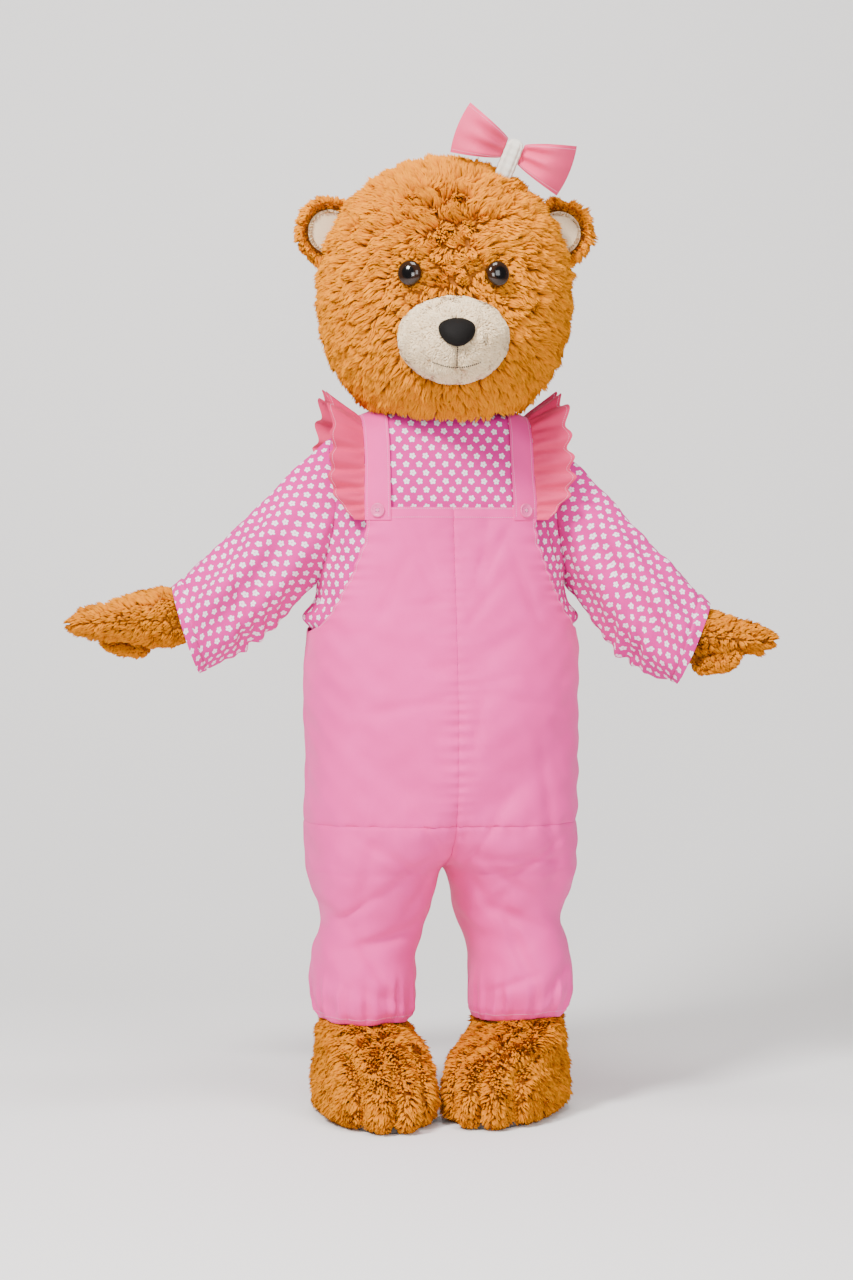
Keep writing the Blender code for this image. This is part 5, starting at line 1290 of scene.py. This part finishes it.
def muzzle_style(root, out, more):
    """Outwards from the nose, short, parted by the middle seam."""
    across, up = more[:, 0] * MUZZLE_HALF_WIDTH, more[:, 1] * MUZZLE_HALF_TALL - NOSE_UP
    from_nose = np.stack([across, np.full(len(more), -0.02), up], -1)
    turn = np.array(head_at.to_3x3())
    near_seam = bump_at(more[:, 0], 0, 0.07) * (more[:, 1] < 0.1)
    return unit(from_nose) @ turn.T, MUZZLE_LOCK_LONG * (1 - 0.35 * near_seam), np.ones(len(more))


furred("muzzle_fur", "muzzle", closed_grid, muzzle_normal, extra, np.where(nose_bare, 0.0, 1.0), 11000, 111,
       cream_pile, "cream_plush", muzzle_style, wide=0.0034, tuft=0.006, gather=0.25)

black_felt, tree, shader = plain_shader("black_felt", 0.62)
shader.inputs["Specular IOR Level"].default_value = 0.06
fibres = noise_texture(tree, 700, 5, cut_socket(tree))
dyed(tree, shader, fibres, (0.003, 0.0027, 0.0027), (0.014, 0.012, 0.011))
set_bump(tree, shader, fibres, 0.5, 0.0008)
share, spin = np.meshgrid(np.concatenate([[1.0, 0.99], np.linspace(0.96, 0.03, 18)]),
                          np.linspace(0, 2 * math.pi, 61)[:-1], indexing="ij")
nose_wide = NOSE_HALF_WIDTH * share * np.cos(spin) * (1 + 0.22 * np.sin(spin))
nose_tall = NOSE_HALF_TALL * share * power(np.sin(spin), 0.9) + NOSE_UP
nose_front = dome_point(muzzle_spot, nose_wide / MUZZLE_HALF_WIDTH, nose_tall / MUZZLE_HALF_TALL,
                        0.002 + NOSE_HIGH * np.sqrt(1 - share ** 2))
nose_behind = dome_point(muzzle_spot, nose_wide[:1] / MUZZLE_HALF_WIDTH, nose_tall[:1] / MUZZLE_HALF_TALL,
                         np.full(nose_wide[:1].shape, -0.006))
spots = np.stack([nose_wide, nose_tall], -1)
nose = capped("nose_pad", moved(np.concatenate([nose_behind, nose_front]), head_at),
              np.concatenate([spots[:1], spots]))
nose.data.materials.append(black_felt)
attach(nose, "root")
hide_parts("nose")

mouth_thread = thread_material("mouth_thread", (0.035, 0.022, 0.018))
bars = []
drop = np.linspace(0, 1, 30)
line_x, line_z = 0 * drop, 0.02 - 0.52 * drop
curve = np.linspace(-1, 1, 60)
smile_x, smile_z = 0.46 * curve, -0.50 + 0.13 * np.abs(curve) ** 1.8
for path_x, path_z in ((line_x, line_z), (smile_x, smile_z)):
    lifted = 0.0025 - 0.5 * muzzle_crease(path_x, path_z)
    path = moved(dome_point(muzzle_spot, path_x, path_z, lifted), head_at)
    path_up = unit(path - np.array(head_at.translation))
    for nudge in (-0.0009, 0.0, 0.0009):
        shifted = path + np.cross(unit(np.gradient(path, axis=0)), path_up) * nudge
        bars.append(stitch_row(shifted, path_up))
stitches("mouth_stitches", bars, mouth_thread)


# Eyes
# Glossy dark brown domes of plastic on short shanks, set among the fur.
eye_glass, tree, shader = plain_shader("eye_brown_gloss", 0.12)
shader.inputs["Specular IOR Level"].default_value = 0.35
shader.inputs["Coat Weight"].default_value = 0.25
shader.inputs["Coat Roughness"].default_value = 0.05
split = tree.nodes.new("ShaderNodeSeparateXYZ")
tree.links.new(cut_socket(tree), split.inputs[0])
radial = maths(tree, "SQRT", maths(tree, "ADD", maths(tree, "POWER", split.outputs["X"], 2.0),
                                   maths(tree, "POWER", split.outputs["Y"], 2.0)))
ring_mask = tree.nodes.new("ShaderNodeMapRange")
ring_mask.inputs["From Min"].default_value, ring_mask.inputs["From Max"].default_value = 0.45, 0.62
tree.links.new(radial, ring_mask.inputs["Value"])
dyed(tree, shader, ring_mask.outputs["Result"], (0.002, 0.0015, 0.0015), (0.022, 0.008, 0.003))
for side_name, side in SIDES.items():
    share, spin = np.meshgrid(np.concatenate([[1.0, 0.998, 0.99], np.linspace(0.97, 0.03, 18)]),
                              np.linspace(0, 2 * math.pi, 49)[:-1], indexing="ij")
    ex, ez = share * np.cos(spin), share * np.sin(spin)
    spot = (side * EYE_LON, EYE_LAT, EYE_RADIUS, EYE_RADIUS, EYE_HIGH)
    front = dome_point(spot, ex, ez, 0 * ex)
    shank = dome_point(spot, ex[:1] * 0.9, ez[:1] * 0.9, np.full(ex[:1].shape, -0.020))
    spots = np.stack([ex, ez], -1)
    eye = capped(f"eye_dome_{side_name}", moved(np.concatenate([shank, front]), head_at),
                 np.concatenate([spots[:1], spots]))
    eye.data.materials.append(eye_glass)
    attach(eye, "root")
    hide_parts(f"eye_{side_name}")


# Ears
# Two layers of pile fur, stuffed at the rim and sewn on upright, with short cream pile in the dish.
EAR_RADIUS, EAR_TILT, EAR_FACING = 0.070, math.radians(20), math.radians(-8)
EAR_ANGLE, EAR_DISTANCE, EAR_RISE, EAR_BACK = math.radians(28), 0.250, 0.265, 0.015
EAR_PROFILE = [
    (0.0, -0.010), (0.30, -0.009), (0.52, 0.000), (0.66, 0.020), (0.80, 0.026), (0.93, 0.017),
    (1.0, 0.0), (0.93, -0.017), (0.66, -0.027), (0.0, -0.030),
]
EAR_PILE, EAR_BURIED, DISH_BURIED = 0.012, 0.228, 0.235


def ear_grid(first, last, rows, inwards):
    """Rings of the ear between two rows of its profile, drawn in by the pile's depth."""
    table = np.array(EAR_PROFILE)
    at = np.linspace(first, last, rows)
    radius, ahead = [np.interp(at, np.arange(len(table)), table[:, k]) for k in (0, 1)]
    slope_r, slope_a = np.gradient(radius * EAR_RADIUS), np.gradient(ahead)
    length = np.maximum(np.hypot(slope_r, slope_a), 1e-9)
    radius_m = radius * EAR_RADIUS + inwards * slope_a / length
    ahead = ahead - inwards * slope_r / length
    spin = np.linspace(0, 2 * math.pi, 73)[:-1][None, :]
    radius_m = np.maximum(radius_m, 0.0006)[:, None]
    return np.stack([radius_m * np.cos(spin), -ahead[:, None] + 0 * spin, radius_m * np.sin(spin)], -1)


for side_name, side in SIDES.items():
    place = (side * EAR_DISTANCE * math.cos(EAR_ANGLE), EAR_BACK, EAR_RISE * math.sin(EAR_ANGLE))
    stand = head_at @ Matrix.Translation(place) @ Euler(
        (0, side * EAR_TILT, side * EAR_FACING)).to_matrix().to_4x4()
    body = ear_grid(2, 9, 34, EAR_PILE)
    ear_middle = moved(np.zeros((1, 3)), stand)[0]
    core = capped(f"ear_core_{side_name}", moved(body, stand), body[..., [0, 2]])
    core.data.materials.append(pile_backing)
    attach(core, "root")
    closed = moved(np.concatenate([body, body[:, :1]], 1), stand)
    normal, _ = facing(closed, ear_middle)
    row_at = np.linspace(2, 9, 34)[:, None] + 0 * closed[..., 0]
    extra = np.stack([row_at, closed[..., 2]], -1)
    buried = np.linalg.norm(closed - np.array(head_at.translation), axis=-1) < EAR_BURIED

    def ear_style(root, out, more):
        """From the dish's edge over the rim, and down the back."""
        away = unit(root - ear_middle)
        inside = (more[:, 0] < 4.2)[:, None]
        flow = np.where(inside, away, away * 0.3 + np.array([0, 0.35, -0.6]))
        return flow, 0.019 * (0.55 + 0.45 * faded(more[:, 0], 2.4, 4.5)), 0.62 + 0.25 * (more[:, 0] < 3.6)

    weight = np.where(buried, 0.0, 1.0)
    furred(f"ear_fur_{side_name}", f"ear_{side_name}", closed, normal, extra, weight, 2600,
           121 if side > 0 else 122, gold_pile, "gold_fur", ear_style, wide=0.0050, tuft=0.014, gather=0.45)
    dish = ear_grid(0.25, 2.35, 16, 0.002)
    lining = np.concatenate([dish[::-1], dish + np.array([0, 0.004, 0])])
    under = capped(f"ear_dish_{side_name}", moved(lining, stand), lining[..., [0, 2]])
    under.data.materials.append(cream_backing)
    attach(under, "root")
    closed = moved(np.concatenate([dish, dish[:, :1]], 1), stand)
    ahead = np.array(stand.to_3x3()) @ np.array([0, -1.0, 0])
    normal = grid_normals(closed, False)
    normal = normal * np.sign((normal * ahead).sum(axis=-1, keepdims=True).mean())
    buried = np.linalg.norm(closed - np.array(head_at.translation), axis=-1) < DISH_BURIED

    def dish_style(root, out, more):
        """Outwards from the ear's middle, and a little up."""
        return unit(root - ear_middle) + np.array([0, 0, 0.2]), 0.010 + 0 * more[:, 0], 0.7 + 0 * more[:, 0]

    weight = np.where(buried, 0.0, 1.0)
    furred(f"ear_lining_fur_{side_name}", f"ear_lining_{side_name}", closed, normal, closed[..., [0, 2]],
           weight, 1500, 131 if side > 0 else 132, cream_pile, "cream_plush", dish_style,
           wide=0.0034, tuft=0.008, gather=0.4)


# Bow
# A plain ribbon bow of pink cotton: two open loops, stiffened and topstitched at the edges, drawn
# together by a band of ivory tape, and sewn to the head beside one ear.
BOW_LOOP_LONG, BOW_LOOP_DEEP, BOW_OUTER_HALF, BOW_KNOT_HALF = 0.098, 0.020, 0.050, 0.019
BOW_CLOTH, BOW_LEAN, BOW_STAND_OFF = 0.0016, math.radians(24), 0.052
KNOT_HALF_WIDE, KNOT_HALF_DEEP, KNOT_TOP, KNOT_BOTTOM = 0.017, 0.017, 0.024, 0.060

bow_cotton, tree, shader = plain_shader("bow_pink_cotton", 0.55)
shader.inputs["Sheen Weight"].default_value = 0.08
cloth = placed_group(tree, woven, Cut=cut_socket(tree), Ribs_per_Metre=1300.0, Slub=0.35, Handling=0.8)
dyed(tree, shader, cloth.outputs["Shade"], (0.70, 0.022, 0.11), (0.84, 0.045, 0.17))
set_bump(tree, shader, cloth.outputs["Height"], 0.35, 0.0005)
ivory_tape, tree, shader = plain_shader("ivory_tape", 0.65)
shader.inputs["Sheen Weight"].default_value = 0.2
cloth = placed_group(tree, woven, Cut=cut_socket(tree), Ribs_per_Metre=1500.0, Slub=0.5, Handling=0.6)
dyed(tree, shader, cloth.outputs["Shade"], (0.70, 0.64, 0.54), (0.86, 0.82, 0.72))
set_bump(tree, shader, cloth.outputs["Height"], 0.5, 0.0006)

distance = HEAD_HALF_HEIGHT + BOW_STAND_OFF
bow_place = (distance * 0.94 * math.sin(BOW_LEAN), -0.075, (distance - 0.022) * math.cos(BOW_LEAN))
bow_at = head_at @ Matrix.Translation(bow_place) @ Euler(
    (math.radians(8), BOW_LEAN * 0.9, 0)).to_matrix().to_4x4()
spin, level = np.meshgrid(np.linspace(0, 2 * math.pi, 97)[:-1], np.linspace(-1, 1, 33))
out = 0.5 - 0.5 * np.cos(spin)
for side_name, side in SIDES.items():
    x = KNOT_HALF_WIDE * 0.985 + BOW_LOOP_LONG * out * (1 - 0.06 * level ** 2)
    half = BOW_KNOT_HALF + (BOW_OUTER_HALF - BOW_KNOT_HALF) * out ** 0.8
    deep = 0.0055 + BOW_LOOP_DEEP * np.sin(math.pi * np.clip(out, 0, 1)) ** 0.8
    y = deep * power(np.sin(spin), 0.8) * (1 + 0.16 * np.cos(2.5 * math.pi * level) * (1 - out))
    folds = 0.0035 * np.cos(5 * math.pi * level / 2) * np.exp(-out / 0.35)
    folds *= np.sign(np.sin(spin)) * faded(out, 0.01, 0.08)
    hem = -0.0006 * (bump_at(np.abs(level), 0.90, 0.02))
    outer = np.stack([side * x, y + folds + hem * np.sign(y), half * level + 0.004 * out], -1)
    outer = moved(outer, bow_at)
    centre = moved(np.array([[side * (KNOT_HALF_WIDE + BOW_LOOP_LONG / 2), 0, 0]]), bow_at)[0]
    normal, sign = facing(outer, centre, closed=True)
    piece = walled(f"cloth_bow_loop_{side_name}", outer, outer - normal * BOW_CLOTH, sign, closed=True)
    piece.data.materials.append(bow_cotton)
    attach(piece, "root")
    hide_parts(f"bow_loop_{side_name}")
    rows = [stitch_row(outer[r], normal[r]) for r in (2, 30)]
    stitches(f"bow_stitches_{side_name}", rows, pink_thread)
ring, rise = np.meshgrid(np.linspace(0, 2 * math.pi, 61)[:-1] + 0.13, np.linspace(-0.995, 0.995, 30))
swell = np.sqrt(np.clip(1 - rise ** 6, 0, 1)) * (1 - 0.06 * np.abs(np.sin(3 * math.pi * rise)))
centre_z, half_z = (KNOT_TOP - KNOT_BOTTOM) / 2, (KNOT_TOP + KNOT_BOTTOM) / 2
tuck = 1 + 0.06 * np.cos(9 * ring) * swell
rings = np.stack([KNOT_HALF_WIDE * swell * tuck * power(np.cos(ring), 0.6),
                  KNOT_HALF_DEEP * swell * tuck * power(np.sin(ring), 0.6),
                  centre_z + half_z * rise], -1)
knot = capped("bow_band", moved(rings, bow_at), np.stack([ring * 0.017, rise * half_z], -1))
knot.data.materials.append(ivory_tape)
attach(knot, "root")
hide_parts("bow_knot")


# Mitts
# Golden pile fur outside, lined, with three stuffed finger lobes and a separate stuffed thumb. Each
# lies palm up with its wrist inside the sleeve's end.
Round = namedtuple("Round", "along half_width half_thick")
MITT = [
    Round(-0.075, 0.041, 0.048),
    Round(-0.030, 0.045, 0.053),
    Round(0.020, 0.055, 0.057),
    Round(0.070, 0.061, 0.050),
    Round(0.120, 0.061, 0.038),
    Round(0.160, 0.054, 0.031),
    Round(0.190, 0.040, 0.024),
    Round(0.205, 0.022, 0.014),
    Round(0.211, 0.0, 0.0),
]
MITT_PILE, MITT_WALL, MITT_LOCK_LONG, WRIST_BARE = 0.0095, 0.012, 0.0195, -0.055
FINGER_GROOVE_DEEP, FINGER_GROOVE_WIDE, FINGER_GROOVES = 0.012, 0.010, (-0.021, 0.021)
MITT_PLACE = {"left": (0.440, -0.036, 0.9274), "right": (-0.505, -0.053, 0.9575)}
MITT_YAW = {"left": math.radians(-26), "right": math.radians(180 - 4)}
MITT_RISE = {"left": math.radians(4), "right": math.radians(-4)}
TIP_START, TIP_LONG = 0.178, 0.0262
THUMB_RADIUS, THUMB_LONG, THUMB_START, THUMB_CLEAR, THUMB_PILE = 0.019, 0.100, 0.060, 0.0017, 0.007


def mitt_point(spin, place, out, groove_deep):
    """A point of a mitt lying along +X with its palm up. spin is 0 at the front edge."""
    wide = np.maximum(along(MITT, "half_width", place) + out, 0.001)
    thick = np.maximum(along(MITT, "half_thick", place) + out, 0.001)
    y, z = -wide * np.cos(spin), thick * np.sin(spin)
    for groove in FINGER_GROOVES:
        deep = groove_deep * faded(place, 0.075, 0.135) * np.exp(-((y - groove) / FINGER_GROOVE_WIDE) ** 2)
        z = z - np.sign(z) * np.minimum(deep, 0.6 * np.abs(z))
    return np.stack([place + 0 * spin, y, z], axis=-1)


for side_name, side in SIDES.items():
    px, py, pz = MITT_PLACE[side_name]
    stand = Matrix.Translation((px, py, pz - HOLD)) @ Euler(
        (0, MITT_RISE[side_name] * side, MITT_YAW[side_name])).to_matrix().to_4x4()
    turn = np.array(stand.to_3x3())
    ahead = turn @ np.array([1.0, 0, 0])
    for half_name, first, seed in (("palm", 0.0, 141), ("back", math.pi, 143)):
        places = np.concatenate([np.linspace(-0.075, 0.16, 36), np.linspace(0.165, 0.204, 19)])
        place, spin = np.meshgrid(places, first + np.linspace(0, math.pi, 41), indexing="ij")
        skin = mitt_point(spin, place, -MITT_PILE, FINGER_GROOVE_DEEP)
        tip = np.sqrt(np.clip(1 - np.clip((place - TIP_START) / TIP_LONG, 0, 1) ** 2, 0, 1))
        skin[..., 1] *= 0.45 + 0.55 * tip
        skin[..., 2] *= tip
        under = mitt_point(spin, np.minimum(place, 0.186), -MITT_WALL, 0.0)
        for layer in (skin, under):
            layer[..., 2] += GAP / 2 * (1 if first == 0 else -1)
        skin, under = moved(skin, stand), moved(under, stand)
        normal, sign = facing(skin, moved(np.array([[0.07, 0, 0]]), stand)[0])
        shell = walled(f"mitt_shell_{half_name}_{side_name}", skin[::2, ::2], under[::2, ::2], sign)
        shell.data.materials.append(pile_backing)
        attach(shell, "root")

        def mitt_style(root, out, more):
            """Towards the fingertips, shorter at the wrist."""
            flow = ahead + 0.15 * np.array([0, 0, -1.0]) + 0 * root
            past_wrist = 0.45 + 0.55 * faded(more[:, 0], -0.04, 0.03)
            return flow, MITT_LOCK_LONG * past_wrist, np.full(len(more), 0.78)

        weight = np.where(place < WRIST_BARE, 0.0, 1.0)
        furred(f"mitt_fur_{half_name}_{side_name}", f"mitt_{half_name}_{side_name}", skin, normal,
               np.stack([place, spin], -1), weight, 3600, seed + (side > 0), gold_pile, "gold_fur",
               mitt_style, wide=0.0044, tuft=0.013, gather=0.5)
    t, spin = np.meshgrid(np.linspace(0.012, 0.988, 30), np.linspace(0, 2 * math.pi, 41)[:-1], indexing="ij")
    radius = THUMB_RADIUS * np.sqrt(np.clip(1 - (2 * t - 1) ** 4, 0, 1)) * (0.86 + 0.14 * t)
    x, y = THUMB_START + THUMB_LONG * t, -0.032 - 0.014 * t
    inside_edge = np.clip(1 - (y / along(MITT, "half_width", x)) ** 2, 0, 1)
    z = -along(MITT, "half_thick", x) * np.sqrt(inside_edge) - radius * 1.06 - THUMB_CLEAR
    inner = np.maximum(radius - THUMB_PILE, 0.001)
    rings = moved(np.stack([x, y + inner * np.cos(spin), z + inner * np.sin(spin)], -1), stand)
    core = capped(f"thumb_core_{side_name}", rings, np.stack([t * THUMB_LONG, spin * THUMB_RADIUS], -1))
    core.data.materials.append(pile_backing)
    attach(core, "root")
    closed = np.concatenate([rings, rings[:, :1]], 1)
    normal, _ = facing(closed, rings.reshape(-1, 3).mean(axis=0))

    def thumb_style(root, out, more):
        """Along the mitt, and a little down."""
        flow = ahead + np.array([0, 0, -0.2]) + 0 * root
        return flow, np.full(len(more), 0.0130), np.full(len(more), 0.75)

    furred(f"thumb_fur_{side_name}", f"thumb_{side_name}", closed, normal, closed[..., :2],
           np.ones(closed.shape[:2]), 1500, 147 + (side > 0), gold_pile, "gold_fur", thumb_style,
           wide=0.0042, tuft=0.012, gather=0.5)


# Boots
# Wide soft boots of the same fur, with four stuffed toes parted by three pulled seams. The shaft goes
# up inside the trouser leg, and a thin grey rubber sole is set in below the fur.
Slice = namedtuple("Slice", "height half_width toe heel groove")
BOOT = [
    Slice(0.003, 0.103, 0.262, 0.098, 0.010),
    Slice(0.020, 0.110, 0.272, 0.106, 0.014),
    Slice(0.050, 0.113, 0.276, 0.110, 0.016),
    Slice(0.080, 0.112, 0.264, 0.110, 0.016),
    Slice(0.110, 0.107, 0.230, 0.106, 0.012),
    Slice(0.138, 0.099, 0.180, 0.100, 0.007),
    Slice(0.162, 0.090, 0.134, 0.093, 0.002),
    Slice(0.186, 0.082, 0.098, 0.084, 0.0),
    Slice(0.215, 0.078, 0.092, 0.080, 0.0),
    Slice(0.262, 0.076, 0.088, 0.078, 0.0),
]
BOOT_WALL, BOOT_PILE, BOOT_LOCK_LONG, SHAFT_BARE = 0.020, 0.016, 0.026, 0.196
TOE_GROOVES, TOE_GROOVE_WIDE, TOE_GROOVE_MORE = (-0.052, 0.0, 0.052), 0.010, 1.9
BOOT_PLACE = {"left": 0.153, "right": -0.153}
BOOT_TOE_IN = {"left": math.radians(-24), "right": math.radians(3)}
FOOT_IN = {"left": -0.014, "right": 0.014}
BOOT_FOOT_TOP, BOOT_SHAFT_BOTTOM = 0.100, 0.180


def toe_valley(spin, height, out, wide):
    """1 in the middle of the grooves between the toes, 0 away from them."""
    x = (along(BOOT, "half_width", height) + out) * power(np.sin(spin), 0.85)
    return faded(np.cos(spin), 0.05, 0.5) * sum(bump_at(x, groove, wide) for groove in TOE_GROOVES)


def boot_point(spin, height, side_name, out):
    """A point of a boot about its ankle, toes towards -Y. spin is 0 at the toes."""
    reach = np.where(np.cos(spin) > 0, along(BOOT, "toe", height), along(BOOT, "heel", height)) + out
    x = (along(BOOT, "half_width", height) + out) * power(np.sin(spin), 0.85)
    y = -reach * power(np.cos(spin), 0.85)
    y = y + along(BOOT, "groove", height) * TOE_GROOVE_MORE * toe_valley(spin, height, out, TOE_GROOVE_WIDE)
    low = 1 - faded(height, BOOT_FOOT_TOP, BOOT_SHAFT_BOTTOM)
    turn = BOOT_TOE_IN[side_name] * low
    return np.stack([x * np.cos(turn) - y * np.sin(turn) + FOOT_IN[side_name] * low,
                     x * np.sin(turn) + y * np.cos(turn), height + 0 * spin], axis=-1)


toe_turns = np.arcsin(np.linspace(-1, 1, 81)) * 0.97
heel_turns = math.pi / 2 + np.linspace(0.08, math.pi - 0.08, 30)
for side_name, side in SIDES.items():
    stand = body_at @ Matrix.Translation((BOOT_PLACE[side_name], 0, 0))
    height, spin = np.meshgrid(np.concatenate([np.linspace(0.004, 0.19, 50), np.linspace(0.2, 0.262, 7)]),
                               np.concatenate([toe_turns, heel_turns]), indexing="ij")
    skin = moved(boot_point(spin, height, side_name, -BOOT_PILE), stand)
    under = moved(boot_point(spin, height, side_name, -BOOT_WALL), stand)
    normal, sign = facing(skin, skin.mean(axis=1, keepdims=True), closed=True)
    shell = walled(f"boot_shell_{side_name}", skin[::2, ::2], under[::2, ::2], sign, closed=True)
    shell.data.materials.append(pile_backing)
    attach(shell, "root")
    closed = np.concatenate([skin, skin[:, :1]], 1)
    normal = np.concatenate([normal, normal[:, :1]], 1)
    wide_height = np.concatenate([height, height[:, :1]], 1)
    valley = toe_valley(spin, height, -BOOT_PILE, 0.013) * (1 - faded(height, 0.11, 0.15))
    valley = np.concatenate([valley, valley[:, :1]], 1)

    def boot_style(root, out, more):
        """Down and towards the toes, short between them and at the floor, so that it ends on it."""
        above, between = more[:, 0], np.clip(more[:, 1], 0, 1)
        flow = np.array([0, -0.35, -1.0]) + 0 * root
        length = BOOT_LOCK_LONG * (0.40 + 0.60 * faded(above, 0.006, 0.03)) * (1 - 0.62 * between)
        return flow, length, 0.82 - 0.20 * (above < 0.03)

    weight = np.where(wide_height > SHAFT_BARE, 0.0, 1.0)
    furred(f"boot_fur_{side_name}", f"boot_{side_name}", closed, normal, np.stack([wide_height, valley], -1),
           weight, 10500, 151 + (side > 0), gold_pile, "gold_fur", boot_style,
           wide=0.0062, tuft=0.014, gather=0.36, floor=0.0015 - HOLD)

sole_rubber, tree, shader = plain_shader("sole_grey_rubber", 0.75)
crumb = noise_texture(tree, 90, 6)
dyed(tree, shader, crumb, (0.045, 0.042, 0.040), (0.11, 0.10, 0.095))
tree.links.new(maths(tree, "MULTIPLY_ADD", crumb, 0.3, 0.6), shader.inputs["Roughness"])
set_bump(tree, shader, crumb, 0.4, 0.001)
for side_name in SIDES:
    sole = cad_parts[f"sole_{side_name}"]
    for slot in sole.material_slots:
        slot.link = "OBJECT"
        slot.material = sole_rubber
